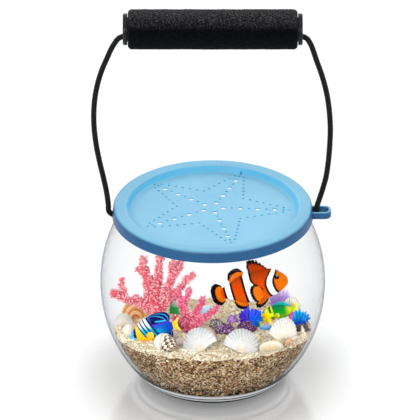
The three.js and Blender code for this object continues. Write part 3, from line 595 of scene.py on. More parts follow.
def sand_grains(name, on_top, at_wall, sizes, colours, seed, lowest=0.0, wall_shade=(0.69, 0.68, 0.66, 1)):
    """Loose grains strewn over the sand and pressed, from a share of its depth up, against the wall."""
    draw = np.random.default_rng(seed)
    angle = draw.uniform(0, 2 * math.pi, on_top)
    reach = sand_rim(angle) * np.sqrt(draw.uniform(0, 0.95, on_top))
    x, y = reach * np.cos(angle), reach * np.sin(angle)
    top_places = np.column_stack([x, y, sand_height(x, y) - draw.uniform(-0.1, 0.35, on_top) * mm])
    angle = draw.uniform(0, 2 * math.pi, at_wall)
    rim = sand_rim(angle)
    low = base_thickness + 3.5 * mm
    depth = sand_height(rim * np.cos(angle), rim * np.sin(angle)) - low
    height = low + depth * draw.uniform(lowest, 1, at_wall)
    reach = wall_radii(height) - 0.6 * sizes[1] * mm
    places = np.vstack([top_places, np.column_stack([reach * np.cos(angle), reach * np.sin(angle), height])])
    stretch = draw.uniform(*sizes, (len(places), 1)) * draw.uniform(0.7, 1.15, (len(places), 3)) * mm
    stretch[on_top:] *= 0.75
    shape = ball(1)
    piece = add_piece(name, *scattered(shape, places, stretch, draw))
    shades = np.array([colour(code) for code, _ in colours])
    chosen = shades[draw.choice(len(shades), len(places), p=[weight for _, weight in colours])]
    # Painted shade: grains against the wall are darkened; painted light: grains on top are lightened and take
    # the lighter tone further back.
    chosen[on_top:] = chosen[on_top:] ** 1.5 * wall_shade
    back = np.clip((y - painted_light_front_end) / (painted_light_behind_start - painted_light_front_end), 0, 1)[:, None]
    painted_light_cast = colour(painted_light_front) * (1 - back) + colour(painted_light_behind) * back
    chosen[:on_top] = chosen[:on_top] ** painted_top_light_power * painted_light_cast
    paint(piece, np.repeat(chosen, len(shape[0]), axis=0))
    piece.data.materials.append(painted_finish(name, Roughness=0.75, Specular_IOR_Level=0.3))
    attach(piece, "tank")


sand_bed()
sand_grains("sand_grains", grains_on_top, grains_at_wall, (0.34, 0.85), grain_colours, 11)
sand_grains("sand_pebbles", pebbles_on_top, pebbles_at_wall, (0.8, 1.5), pebble_colours, 12)
sand_grains("sand_crumbs", crumbs_on_top, crumbs_at_rim, (0.8, 1.5), crumb_colours, 13, lowest=0.86,
            wall_shade=(0.84, 0.84, 0.81, 1))

# Corals: two branched corals cast in pink resin, rough with small pale polyps. Each stands with its
# stem in the sand, the large one at the back left and the small one in front of it.
coral_voxel = 0.5 * mm
coral_slim = 0.72  # thickness of a branch to that in the table, which leaves room for knobs and polyps
coral_twigs = 4
coral_large_height = 50 * mm
coral_large_branches = [
    [[0, 0, -0.08], [0, 0.01, 0.28], 0.12, 0.092], [[0, 0, 0.16], [-0.22, -0.04, 0.32], 0.084, 0.064],
    [[-0.2, -0.04, 0.31], [-0.53, -0.08, 0.46], 0.062, 0.04],
    [[-0.36, -0.06, 0.38], [-0.41, -0.08, 0.56], 0.036, 0.028],
    [[-0.04, 0, 0.24], [-0.09, 0.02, 0.6], 0.084, 0.06],
    [[-0.09, 0.02, 0.58], [-0.14, 0.04, 0.88], 0.06, 0.04],
    [[-0.1, 0.02, 0.62], [-0.22, 0, 0.74], 0.036, 0.026],
    [[0.02, 0.02, 0.24], [0.06, 0.08, 0.6], 0.068, 0.048],
    [[0.06, 0.08, 0.58], [0.1, 0.1, 0.94], 0.048, 0.036],
    [[0.06, 0.02, 0.26], [0.2, -0.02, 0.56], 0.064, 0.046],
    [[0.2, -0.02, 0.54], [0.22, -0.04, 0.84], 0.046, 0.032],
    [[0.2, -0.02, 0.58], [0.34, 0, 0.84], 0.04, 0.03],
    [[0.08, -0.02, 0.18], [0.28, -0.12, 0.48], 0.068, 0.052],
    [[0.27, -0.12, 0.47], [0.48, -0.16, 0.74], 0.05, 0.034],
]
coral_small_height = 28 * mm
coral_small_branches = [
    [[0, 0, -0.143], [0.018, 0.018, 0.286], 0.196, 0.143],
    [[-0.036, 0, 0.179], [-0.143, 0.107, 0.607], 0.114, 0.079],
    [[-0.143, 0.107, 0.571], [-0.232, 0.143, 0.893], 0.075, 0.054],
    [[-0.125, 0.107, 0.571], [0.018, 0.143, 0.964], 0.075, 0.054],
    [[0.036, 0, 0.179], [0.214, 0.071, 0.571], 0.114, 0.071],
    [[0.214, 0.071, 0.536], [0.321, 0.036, 0.821], 0.068, 0.05],
    [[0.107, -0.036, 0.143], [0.393, 0, 0.375], 0.107, 0.079],
    [[0.375, 0, 0.357], [0.625, 0.036, 0.536], 0.075, 0.054],
    [[-0.107, -0.036, 0.143], [-0.321, 0, 0.321], 0.093, 0.064],
]


def seated(points, at, sink=0.0, turn=0.0, lean=0.0, tilt=0.0):
    """Points of a decoration, leant, tilted and turned about its foot and set down in the sand."""
    x, y = at[0] * sand_reach, at[1] * sand_reach
    turned_by = Euler([math.radians(angle) for angle in (lean, tilt, turn)], "XYZ").to_matrix()
    return np.asarray(points) @ np.array(turned_by).T + [x, y, sand_height(x, y) - sink]


def settle(piece):
    """Makes a piece's modifiers part of its mesh."""
    made = bpy.data.meshes.new_from_object(piece.evaluated_get(bpy.context.evaluated_depsgraph_get()))
    piece.modifiers.clear()
    piece.data = made


def soft(value, edge, width):
    """0 below an edge and 1 above it, with a soft step between."""
    return np.clip((np.asarray(value) - edge) / width + 0.5, 0, 1)


def layered(base, like, *coats):
    """A colour at each of some points, with more laid over it, each by its share at the point."""
    tint = np.zeros(np.shape(like) + (4,)) + colour(base)
    for coat, share in coats:
        share = np.asarray(share, float)[..., None]
        tint = tint * (1 - share) + (colour(coat) if isinstance(coat, str) else coat) * share
    return tint


def joined(shapes):
    """Several shapes as one, each given by its points and faces."""
    points, faces = [], []
    for skin, sides in shapes:
        faces += [tuple(len(points) + k for k in side) for side in sides]
        points += np.asarray(skin).tolist()
    return np.array(points), faces


def decor(name, node, points, faces, colours, material, crease=None):
    """A painted piece that stands in the tank in place of a solid of the part."""
    piece = add_piece(name, points, faces, crease)
    paint(piece, colours)
    piece.data.materials.append(material)
    if node:
        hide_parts(node)
    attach(piece, "tank")
    return piece


def blunt_taper(thick, thin, share, start, run):
    """Radius along a finger that narrows, with a rounded tip over the last run of it."""
    return (thick + (thin - thick) * share) * np.sqrt(1 - np.clip((share - start) / run, 0, 1) ** 2)


def height_share(places):
    """How high each place lies among them, from 0 to 1."""
    return (places[:, 2] - places[:, 2].min()) / np.ptp(places[:, 2])


def coral(word, height, at, branches, polyps, shades, seed):
    draw = np.random.default_rng(seed)
    limbs = []

    def limb(start, end, thick, thin):
        bow = draw.normal(size=3) * 0.05 * np.linalg.norm(end - start)
        path = smooth_path([start, (start + end) / 2 + bow, end + (end - start) * 0.04], 0.015)
        radii = blunt_taper(thick, thin, np.linspace(0, 1, len(path)), 0.86, 0.145)
        limbs.append(loft(tube_rings(path, radii, 12)))

    for number, (start, end, thick, thin) in enumerate(branches):
        start, end = np.array(start, float), np.array(end, float)
        limb(start, end, thick * coral_slim, thin * coral_slim)
        for _ in range(coral_twigs if number else 0):
            root = start + (end - start) * draw.uniform(0.45, 0.98)
            out = (end - start) / np.linalg.norm(end - start) + draw.normal(size=3) * 0.7 + [0, 0, 0.25]
            limb(root, root + out / np.linalg.norm(out) * draw.uniform(0.05, 0.1), thin * 0.75, thin * 0.55)
    points, faces = joined(limbs)
    piece = add_piece(f"coral_{word}_branches", seated(points * height, at), faces)
    fuse = piece.modifiers.new("fuse", "REMESH")
    fuse.mode, fuse.voxel_size = "VOXEL", coral_voxel
    settle(piece)
    mesh = piece.data
    mesh.shade_smooth()
    places, out = np.zeros((2, 3 * len(mesh.vertices)))
    mesh.vertices.foreach_get("co", places)
    mesh.vertices.foreach_get("normal", out)
    places, out = places.reshape(-1, 3), out.reshape(-1, 3)
    knobs = cloud(places, 1.5 * mm)
    places += out * (0.4 * mm * knobs)[:, None]
    mesh.vertices.foreach_set("co", places.ravel())
    rise = height_share(places)
    paint(piece, layered(
        shades[0], rise, (shades[1], np.clip(0.25 + 0.6 * rise + 0.5 * knobs, 0, 1)),
        (shades[2], soft(rise + 0.15 * knobs, 0.97, 0.3)),
    ))
    finish = painted_finish("pink_coral_" + word, Roughness=0.75, Specular_IOR_Level=0.25,
                            Subsurface_Weight=0.1, Subsurface_Scale=1 * mm)
    mesh.materials.clear()
    mesh.materials.append(finish)
    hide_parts("coral_" + word)
    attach(piece, "tank")

    mesh.calc_loop_triangles()
    corners = np.array([triangle.vertices[:] for triangle in mesh.loop_triangles])
    a, b, c = (places[corners[:, k]] for k in range(3))
    out = np.cross(b - a, c - a)
    area = np.linalg.norm(out, axis=1) * (a[:, 2] > sand_depth - 4 * mm)
    chosen = draw.choice(len(area), polyps, p=area / area.sum())
    up = out[chosen] / np.linalg.norm(out[chosen], axis=1)[:, None]
    spots = (a + b + c)[chosen] / 3 + 0.45 * mm * up
    sizes = draw.uniform(0.8, 1.2, (polyps, 1)) * np.array([0.62, 0.62, 1.2]) * mm
    shape = ball(1)
    rise = height_share(spots)
    tint = layered(shades[0], rise, (shades[1], np.clip(draw.uniform(0.3, 1, polyps) + 0.2 * rise, 0, 1)))
    tint = np.repeat(tint, len(shape[0]), axis=0)
    tip = np.tile(soft(shape[0][:, 2], 0.5, 0.8), polyps) * 0.75
    tint = layered(shades[0], tip, (tint, np.ones(len(tip))), (shades[2], tip))
    skin, sides = scattered(shape, spots, sizes, draw, up)
    decor(f"coral_{word}_polyps", None, skin, sides, tint, finish)


coral("large", coral_large_height, (-0.59, 0.18), coral_large_branches, 1500,
      ("b6374f", "db6675", "ffd3d6"), 3)
coral("small", coral_small_height, (-0.24, -0.11), coral_small_branches, 650,
      ("b52e4f", "d55674", "ffb1c5"), 5)

# Clownfish: a toy fish moulded in soft plastic and painted orange with three white bands edged in
# black. A clear rod pushed into its belly and the sand holds it up in the open tank.
fish_sides = 90
clown_length = 48
clown_belly = 9.6
clown_cheek = 5.4
clown_rise = 15
clown_place = (0.372, 0.14)
clown_height = 24.9 * mm
clown_stretch = 1.125  # its height as it stands to its height as drawn here
rod_radius = 1 * mm
rod_sunk = 12 * mm
rod_in_fish = 4 * mm
clown_stations = [
    [-0.01, 0.1, -0.04, 0.12], [0, 0.24, -0.04, 0.3], [0.06, 0.52, 0, 0.6], [0.2, 0.85, 0.05, 0.889],
    [0.4, 1, 0, 1], [0.58, 0.917, 0, 0.852], [0.72, 0.625, 0, 0.556], [0.84, 0.375, 0, 0.333],
    [0.88, 0.271, 0, 0.222],
]


def fin_sheet(root, rim, rays, thick, wave, lift):
    """A thin fin between points [x, z] along its root and its rim, ridged by its rays and scalloped.

    It returns its rings, and for each point how far it lies along the fin and out from the root.
    """
    columns, rows = 48, 20
    along = np.linspace(0, 1, columns)

    def even(edge):
        runs = smooth_path(edge, 0.05).T
        return np.column_stack([np.interp(along, np.linspace(0, 1, len(run)), run) for run in runs])

    root, rim = even(root), even(rim)
    ridge = np.abs(np.cos(math.pi * rays * along))
    rim = rim + wave * (ridge[:, None] - 0.5) * (rim - root) / np.linalg.norm(rim - root, axis=1)[:, None]
    rings = []
    for out in np.linspace(0, 1, rows):
        middle = root + (rim - root) * out
        half = thick / 2 * (1 - 0.7 * out) * (0.7 + 0.3 * ridge)
        y = lift[0] + (lift[1] - lift[0]) * out
        near, far = (np.column_stack([middle[:, 0], y + side * half, middle[:, 1]]) for side in (-1, 1))
        rings.append(np.vstack([near, far[::-1]]))
    across = np.tile(np.concatenate([along, along[::-1]]), rows)
    return np.array(rings), across, np.repeat(np.linspace(0, 1, rows), 2 * columns)


def face_outward(piece):
    made = bmesh.new()
    made.from_mesh(piece.data)
    bmesh.ops.recalc_face_normals(made, faces=made.faces)
    made.to_mesh(piece.data)
    made.free()


def toy_fish(name, sizes, stations, body_colours, fins, side_fin, eye, place, finish):
    """A toy fish in one piece: a body through stations, painted fins and two round eyes.

    A fin has a root, a rim, a count of rays, a thickness, the depth of its scallops and its colours. The
    side fin also has how far its root and its rim stand out from the middle.
    """
    length, belly, cheek = sizes
    around = round_angles(fish_sides)
    body, faces = loft(np.array([
        np.column_stack([
            0 * around + length * (0.5 - back), cheek * thick * np.sin(around),
            belly * (rise + tall * np.cos(around)),
        ]) for back, tall, rise, thick in smooth_path(stations, 0.012)
    ]))
    shapes = [(body, faces)]
    tints = [body_colours(body[:, 0], body[:, 2])]
    *pair, (out_root, out_rim) = side_fin
    lifts = [(0, 0)] * len(fins) + [(-out_root, -out_rim), (out_root, out_rim)]
    for (root, rim, rays, thick, wave, fin_colours), lift in zip(fins + [pair, pair], lifts):
        rings, across, outward = fin_sheet(root, rim, rays, thick, wave, lift)
        shapes.append(loft(rings))
        tints.append(fin_colours(across, outward))
    eye_x, eye_z, eye_size, eye_out = eye
    skin, sides = ball(3)
    for side in (-1, 1):
        shapes.append((skin * eye_size * [1, 0.5, 1] + [eye_x, side * eye_out, eye_z], sides))
        glint = np.linalg.norm(skin - np.array([0.35, side * 0.6, 0.7]), axis=1) < 0.2
        tints.append(layered("0a0a0c", glint, ("f4f6f8", glint)))
    points, faces = joined(shapes)
    face_outward(decor(name + "_toy", name, place(points * mm), faces, np.vstack(tints), finish))


def clown_body(x, z):
    curl = np.where(z > 1, 0.1, 0.024) * (z - 1) ** 2
    head = np.abs(x - 13.25 - curl) - 1.75
    middle = np.maximum(-2.2 - x, x - 1.6 - 5.6 * np.exp(-(((z + 0.4) / 3.4) ** 2)))
    tail = np.maximum(-15 - x, x + 11.7)
    band = np.minimum(np.minimum(head, middle), tail)
    mouth = np.abs(z - 0.6 - 0.12 * (x - 24)) - 0.16
    return layered(
        "c53f00", x, ("942f02", soft(z, 5.5, 7)), ("d96404", soft(-z, 3.5, 7) * 0.8),
        ("cc6d02", soft(x, 17, 6) * 0.7), ("050405", soft(-band, -1.45, 0.35)),
        ("f7f7f7", soft(-band, 0, 0.3)), ("7a2a05", soft(-mouth, 0, 0.2) * (x > 21.6) * 0.8),
    )


def rays_of(across, count):
    """Streaks along a fin's rays, from -1 to 1."""
    return np.cos(2 * math.pi * count * across)


def clown_fin(dark):
    """Orange fin with a black rim and black front and back edges from a share of its width outward."""
    def colours(across, out):
        edge = np.minimum(across, 1 - across) * 3 + dark
        black = np.maximum(soft(out, dark, 0.06), soft(out, edge, 0.1) * (out > 0.25))
        return layered(
            "ce5002", across, ("a63a02", 0.35 + 0.35 * rays_of(across, 9)),
            ("e37710", soft(out, 0.1, 0.5) * 0.5), ("0b0a0b", black),
        )
    return colours


def spiky_fin(across, out):
    streak = rays_of(across, 7)
    return layered(
        "b13502", across, ("942902", 0.4 + 0.4 * streak), ("120d0b", soft(out + 0.12 * streak, 0.72, 0.1)),
        ("0b0a0b", soft(across, 0.9, 0.06) * (out > 0.15)),
    )


def clownfish():
    x, y = (share * sand_reach for share in clown_place)
    middle = Vector((x, y, sand_height(x, y) + clown_height))
    nose_up = np.array(Euler((0, -math.radians(clown_rise), 0)).to_matrix())
    rim_fin = clown_fin(0.62)
    fins = [
        ([[-16.6, 2.8], [-17, 0], [-16.6, -2.8]],
         [[-17.2, 5.2], [-20.5, 7], [-23.6, 5], [-24.7, 0], [-23.6, -5], [-20.5, -7], [-17.2, -5.2]],
         8, 1.3, 0.3, rim_fin),
        ([[14.2, 6.4], [8, 8.6], [2.2, 8.2]],
         [[13.6, 9.4], [11, 12.4], [7, 14.9], [3.2, 15.3], [1.6, 12.6]], 7, 1.4, 1.5, spiky_fin),
        ([[-1.4, 8.4], [-6, 7], [-10.6, 4]],
         [[-1.6, 10.6], [-3.6, 13], [-7, 13.2], [-10.6, 11.4], [-12, 8]], 7, 1.4, 0.4, rim_fin),
        ([[-3.4, -8.2], [-7, -6.6], [-10.2, -4]],
         [[-3.6, -10.6], [-5, -12.8], [-8, -12.4], [-11, -10.4], [-12, -7.2]], 7, 1.4, 0.4, rim_fin),
        ([[10, -6], [7, -7.8], [4, -8.4]],
         [[9.6, -9.6], [7, -12.2], [3.6, -13.6], [1, -13.2], [0.8, -11]], 6, 1.3, 0.6, rim_fin),
    ]
    side_fin = (
        [[8.2, -1.2], [8.6, -2.8], [8.2, -4.4]],
        [[6, 3.4], [2.4, 3.4], [0.6, 0.6], [0.5, -2.4], [1.4, -5.6], [3.2, -7.8]],
        8, 1.2, 0.7, clown_fin(0.78), (4.6, 6.6),
    )
    finish = painted_finish("clownfish_paint", mottle=0.12, mottle_scale=900.0, bump=0.06 * mm,
                            Roughness=0.38, Specular_IOR_Level=0.02)
    toy_fish(
        "clownfish", (clown_length, clown_belly, clown_cheek), clown_stations,
        clown_body, fins, side_fin, (18.7, 3.9, 1.5, 3.3),
        lambda points: (points * [1, 1, clown_stretch]) @ nose_up.T + np.array(middle), finish,
    )

    foot = middle.z - clown_height - rod_sunk
    top = middle.z - clown_belly * clown_stretch * mm + rod_in_fish
    shape = [
        [0, foot], [rod_radius, foot + rod_radius], [rod_radius, top - rod_radius / 2], [rod_radius / 2, top],
        [0, top],
    ]
    points, faces = turned(shape, 24)
    rod = add_piece("clownfish_rod_clear", points + [x, y, 0], faces, crease=50)
    rod.data.materials.append(bpy.data.materials["clear_plastic"])
    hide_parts("clownfish_rod")
    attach(rod, "tank")


clownfish()

# Angelfish: a small painted toy fish that stands on the sand at the left, facing left. It is blue and
# turquoise with dark slanted bands, a yellow face, belly and tail, and navy fins with light lines.
angel_length = 31
angel_belly = 9
angel_cheek = 3.2
angel_height = 8
angel_stations = [
    [-0.012, 0.05, -0.267, 0.1], [0, 0.133, -0.267, 0.281], [0.08, 0.4, -0.2, 0.625],
    [0.25, 0.8, -0.044, 0.938], [0.45, 1, 0, 1], [0.65, 0.844, 0.022, 0.812], [0.8, 0.467, 0.022, 0.5],
    [0.88, 0.244, 0.022, 0.312],
]
angel_bands = ((0.17, 0.016), (0.25, 0.018), (0.335, 0.018), (0.43, 0.022))  # place and half width


def angel_body(x, z):
    share, height = 0.5 - x / angel_length, z / angel_belly
    slant = share + 0.14 * (height - 0.68)
    rear, tail = soft(share, 0.46, 0.04), soft(share, 0.56, 0.04)
    upper, lower = height - 0.7 + 0.5 * (share - 0.5), height + 0.68 - 0.4 * (share - 0.5)
    lines = np.minimum(np.abs(upper), np.abs(lower))
    stripes = layered("10a0bc", x, ("dde6ee", soft(height, 0.42, 0.45)), ("2ea24a", soft(-height, 0.35, 0.3)))
    eye_bar = soft(0.045 - np.abs(share - 0.085), 0, 0.02)
    bands = [("0b1440", soft(width - np.abs(slant - line), 0, 0.012)) for line, width in angel_bands]
    return layered(
        "0a52ae", x, ("0e3ca4", soft(share + 0.1 * height, 0.72, 0.2)),
        ("108cb6", soft(0.2 - np.abs(height + 0.1), 0, 0.3) * (1 - soft(share, 0.66, 0.2))),
        ("4a22b8", soft(height, 0.36, 0.1) * rear * 0.6),
        ("0a1046", soft(height, 0.5, 0.06) * rear + soft(-height, 0.5, 0.06) * tail),
        ("2aa6e0", soft(0.045 - lines, 0, 0.03) * tail),
        (stripes, soft(slant, 0.13, 0.02) * (1 - soft(slant, 0.44, 0.02))),
        ("4bb53c", soft(-height, 0.45, 0.3) * soft(share, 0.4, 0.1) * (1 - soft(share, 0.72, 0.1))),
        *bands,
        ("f5b81a", soft(-height, 0.42, 0.16) * soft(share, 0.12, 0.03) * (1 - soft(share, 0.46, 0.14))),
        ("f8b916", soft(share, 0.075, 0.02) * (1 - soft(slant, 0.15, 0.02))),
        ("0d1a55", eye_bar * soft(height, -0.35, 0.12) * (height < 0.35)),
        ("4aa8ee", soft(0.075 - share, 0, 0.02) + soft(-height, 0.32, 0.1) * soft(0.11 - share, 0, 0.02)),
    )


def navy_fin(across, out):
    lines = soft(np.cos(2 * math.pi * (2.6 * out + 0.1)), 0.86, 0.2)
    return layered(
        "0b1450", across, ("35b6ee", lines * (out < 0.9)),
        ("6a2fd0", soft(0.3 - out, 0, 0.3) * soft(np.abs(across - 0.5), 0.2, 0.2) * 0.5),
    )


def yellow_fin(across, out):
    streaks = 0.4 + 0.4 * rays_of(across, 8)
    return layered("f7c51a", across, ("e59a0c", streaks), ("fbe27a", soft(out, 0.7, 0.5) * 0.5))


def small_fish_paint(name):
    return painted_finish(name, mottle=0.1, mottle_scale=1200.0, bump=0.05 * mm, Roughness=0.3,
                          Specular_IOR_Level=0.02)


def angelfish():
    fins = [
        ([[-11.6, 1.9], [-12, 0.2], [-11.6, -1.6]],
         [[-12.4, 2.4], [-16.6, 5.3], [-15.6, 2.4], [-15.2, 0.2], [-15.6, -2], [-16.6, -4.9], [-12.4, -2]],
         8, 1.1, 0.2, yellow_fin),
        ([[6, 6.2], [0, 8.4], [-8.4, 2.4]],
         [[5, 8], [-1, 10.6], [-5.6, 11], [-9.8, 9.8], [-11.2, 6.6], [-10, 3.2]], 10, 1.2, 0.2, navy_fin),
        ([[0, -8], [-4, -6.2], [-8.4, -1.6]],
         [[-1, -9], [-5, -9.6], [-9, -8.4], [-11.2, -5.4], [-10, -2.4]], 8, 1.2, 0.2, navy_fin),
    ]
    side_fin = (
        [[5, -1.2], [5.4, -2.2], [5, -3.2]], [[3.6, 0.6], [1.4, 0.4], [0.6, -1.6], [1.4, -3.6]], 6, 0.7, 0.2,
        yellow_fin, (3, 4.2),
    )
    toy_fish(
        "angelfish", (angel_length, angel_belly, angel_cheek), angel_stations,
        angel_body, fins, side_fin, (12.8, -0.6, 0.85, 2.05),
        lambda points: seated(points + [0, 0, angel_height * mm], (-0.56, -0.43), turn=180, tilt=12),
        small_fish_paint("angelfish_paint"),
    )


angelfish()

# Green fish: a smaller painted toy fish on the sand at the right, facing left, shaded from teal on its
# back to lime on its belly, with yellow stripes behind the head and a yellow tail.
green_length = 23
green_belly = 5
green_cheek = 2.8
green_height = 4.4
green_stations = [
    [-0.012, 0.06, 0, 0.1], [0, 0.18, 0, 0.286], [0.1, 0.52, 0, 0.643], [0.3, 0.94, 0, 1], [0.5, 1, 0, 1],
    [0.68, 0.72, 0, 0.714], [0.8, 0.36, 0, 0.393],
]
green_stripes = (0.2, 0.31)


def green_body(x, z):
    share, height = 0.5 - x / green_length, z / green_belly
    upper = soft(height, -0.6, 0.3)
    slant = share + 0.05 * height
    stripes = [("d8e03a", soft(0.022 - np.abs(slant - line), 0, 0.02) * upper) for line in green_stripes]
    return layered(
        "089618", x, ("046c34", soft(height, 0.5, 0.5)), ("70b61a", soft(-height, 0.25, 0.6)),
        ("c6d420", soft(share, 0.7, 0.14)), *stripes, ("3fb9e6", soft(0.08 - share, 0, 0.05)),
    )


def lime_fin(across, out):
    streaks = 0.4 + 0.4 * rays_of(across, 7)
    return layered("d3d81e", across, ("8cb51c", streaks), ("f2ee5a", soft(out, 0.65, 0.4) * 0.6))


def teal_fin(across, out):
    streaks = 0.3 + 0.3 * rays_of(across, 8)
    return layered("0f9a72", across, ("1673b8", streaks), ("38c0d8", soft(out, 0.8, 0.2) * 0.7))


def green_fish():
    fins = [
        ([[-7, 1.5], [-7.3, 0], [-7, -1.5]],
         [[-8, 2.4], [-12, 5.2], [-11.2, 2], [-10.9, 0.3], [-11.2, -1.6], [-12, -4.2], [-8, -2.2]],
         7, 0.9, 0.2, lime_fin),
        ([[4, 4.2], [0, 4.8], [-5, 2.6]], [[3.4, 5.4], [0.4, 6.6], [-3, 6.4], [-6, 4]],
         8, 0.9, 0.2, teal_fin),
    ]
    side_fin = (
        [[3.6, -0.4], [3.9, -1.2], [3.6, -2]], [[2.4, 0.8], [0.8, 0.4], [0.4, -1.2], [1.2, -2.6]],
        5, 0.6, 0.1, lime_fin, (2.6, 3.4),
    )
    toy_fish(
        "green_fish", (green_length, green_belly, green_cheek), green_stations,
        green_body, fins, side_fin, (8.6, 0.8, 0.6, 1.75),
        lambda points: seated(points + [0, 0, green_height * mm], (0.69, 0.27), turn=180, tilt=8),
        small_fish_paint("green_fish_paint"),
    )


green_fish()

# Anemones and plant: soft rubber tufts, each a squat foot with many bent fingers. One is violet and
# blue, one blue and cyan with magenta beside it, and the plant behind them is a fuzz of lilac spikes.


def tuft(name, at, turn, sizes, count, thick, thin, fan, bend, tints, finish, seed):
    """A dome with fingers fanned out of it, coloured by how far across and how high they stand."""
    spread, height, depth = sizes
    draw = np.random.default_rng(seed)
    skin, sides = ball(3)
    shapes = [(skin * [spread * 0.4, depth * 0.4, height * 0.4], sides)]
    for i in range(count):
        angle = math.radians(-fan / 2 + fan * (i + 0.5) / count + draw.uniform(-4, 4))
        row = (-1, 0.2, 1)[i % 3] + draw.uniform(-0.2, 0.2)
        reach = height * (0.34 + 0.62 * math.cos(angle)) * draw.uniform(0.86, 1.04)
        root = np.array([spread * 0.2 * math.sin(angle), row * depth * 0.14, height * 0.16])
        tip = np.array([spread * 0.52 * math.sin(angle), row * depth * 0.4, reach])
        middle = (root + tip) / 2 + np.array([0, draw.uniform(-0.5, 0.5) * depth * 0.12, bend * height])
        path = smooth_path([root, middle, tip], 0.35)
        radii = blunt_taper(thick, thin, np.linspace(0, 1, len(path)), 0.8, 0.205)
        shapes.append(loft(tube_rings(path, radii, 10)))
    points, faces = joined(shapes)
    places = seated(points * mm, at, turn=turn)
    colours = tints(points[:, 0] / spread, points[:, 2] / height)
    decor(name + "_tuft", name, places, faces, colours, finish)


def violet_tints(across, rise):
    return layered(
        "4216b2", across, ("125eec", soft(across, -0.08, 0.25)),
        ("0d7f8e", soft(across, 0.2, 0.2) * soft(-rise, -0.4, 0.4)), ("5860f2", soft(rise, 0.75, 0.4) * 0.6),
    )


def lilac_tints(across, rise):
    return layered("b586fc", across, ("e6c7ff", soft(rise, 0.5, 0.5)), ("e9dcfa", soft(rise, 0.85, 0.3)))


def cyan_tints(across, rise):
    return layered(
        "0640c4", across, ("068ee0", soft(rise, 0.5, 0.4)), ("08b0d8", soft(rise, 0.8, 0.25) * 0.8),
        ("e23fae", soft(-across, 0.3, 0.1)),
    )


rubber = painted_finish("soft_rubber", mottle=0.25, Roughness=0.45, Specular_IOR_Level=0.02,
                        Subsurface_Weight=0.2, Subsurface_Scale=1 * mm)
tuft("anemone_violet", (0.38, 0), 5, (15, 13, 9), 26, 1.15, 0.75, 160, 0.06, violet_tints,
     rubber, 21)
tuft("sea_plant_purple", (0.67, 0.53), 0, (16, 16, 7), 46, 0.5, 0.25, 140, 0.03, lilac_tints,
     rubber, 22)
tuft("anemone_cyan", (0.87, 0.05), -10, (13, 10, 9), 24, 1.2, 0.7, 170, 0.1, cyan_tints,
     rubber, 23)

# Starfish: a small yellow starfish of hard rubber with plump arms and a grained back. It leans back
# on the sand beside the green fish.
star_reach = 5
star_waist_radius = 2.7
star_thick = 2.2
wart_height = 0.16


def starfish():
    rows, columns = 26, 120
    angle = round_angles(columns)
    lobes = (0.5 + 0.5 * np.cos(5 * angle)) ** 1.1
    reach = star_waist_radius + (star_reach - star_waist_radius) * lobes
    rings = []
    for face, shares in ((-1, np.linspace(0.02, 0.985, rows)), (1, np.linspace(0.985, 0.02, rows))):
        for share in shares:
            puff = star_thick / 2 * math.sqrt(1 - share**2) * (0.7 + 0.3 * (1 - share) + 0.15 * lobes)
            rings.append(np.column_stack([
                reach * share * np.sin(angle), face * puff, reach * share * np.cos(angle) + star_reach * 0.8,
            ]))
    points, faces = loft(np.array(rings))
    warts = cloud(points, 0.55)
    points[:, 1] += np.sign(points[:, 1]) * wart_height * warts
    tint = layered("f3cf00", warts, ("ffe906", soft(warts, 0.1, 0.5)), ("efbe04", soft(-warts, 0.35, 0.3)))
    places = seated(points * mm, (0.54, 0.11), lean=-18)
    decor("starfish_yellow_toy", "starfish", places, faces, tint, rubber)


starfish()

# Scallops: real half shells of the fan kind, ribbed from the hinge and ringed by their growth. They
# are white at the front, cream at the right and brown at the back left, pushed into the sand.
fan_ribs = 15
fan_rings = 46
fan_shell = 0.9
scallop_places = [
    ("front_left", "shell_white", (23, 16.5, 7.5), dict(at=(-0.1, -0.8), lean=-42, tilt=-26, sink=1 * mm)),
    ("front_right", "shell_white", (23, 16.5, 7.5), dict(at=(0.265, -0.81), lean=-42, tilt=16, sink=1 * mm)),
    ("right", "shell_cream", (18, 16, 6.5), dict(at=(0.68, -0.46), lean=-28, tilt=18, sink=1 * mm)),
    ("back_left", "shell_brown", (19, 13, 5), dict(at=(-0.77, 0.26), lean=-32, tilt=-8, sink=1 * mm)),
    ("back_right", "shell_cream", (13, 12, 4), dict(at=(0.78, 0.38), lean=-16, tilt=10, sink=1 * mm)),
    ("left", "shell_cream", (12, 9, 4), dict(at=(-0.89, -0.02), lean=-45, tilt=-10, sink=0.5 * mm)),
]


def scallop_skin(sizes):
    """Rings of a closed ribbed shell, with each point's way from the hinge, place on a rib and side."""
    width, height, dome = sizes
    sides, steps = 120, 44
    out = np.linspace(0.02, 1, steps)
    rings, outs, ribs, inside = [], [], [], []
    for side in np.linspace(-1, 1, sides):
        angle = side * math.pi / 2.1
        rib = math.cos(math.pi * fan_ribs * (side + 1)) * (1 - side**8)
        for inset, run in ((0, out), (fan_shell, out[::-1])):
            growth = 0.05 * np.sin(fan_rings * run + 2 * side * side)
            reach = (height - inset) * run * (1 + 0.012 * rib * run)
            swell = np.sin(math.pi * (0.18 + 0.75 * run)) * (1 - 0.55 * side * side)
            ear = 0.11 * width * np.exp(-((run / 0.13) ** 2)) * math.sin(angle)
            across = reach * math.sin(angle) * width / (2 * height) + ear
            relief = (0.27 * rib * run**0.7 + growth) * (0.5 if inset else 1)
            away = -(dome - inset) * swell - inset * 0.1 - relief
            rings.append(np.column_stack([across, away, reach * math.cos(angle * 0.9)]))
            outs.append(run)
            ribs.append(np.full(steps, rib))
            inside.append(np.full(steps, inset > 0))
    closed = np.array(rings).reshape(sides, 2 * steps, 3)
    return closed, np.concatenate(outs), np.concatenate(ribs), np.concatenate(inside)


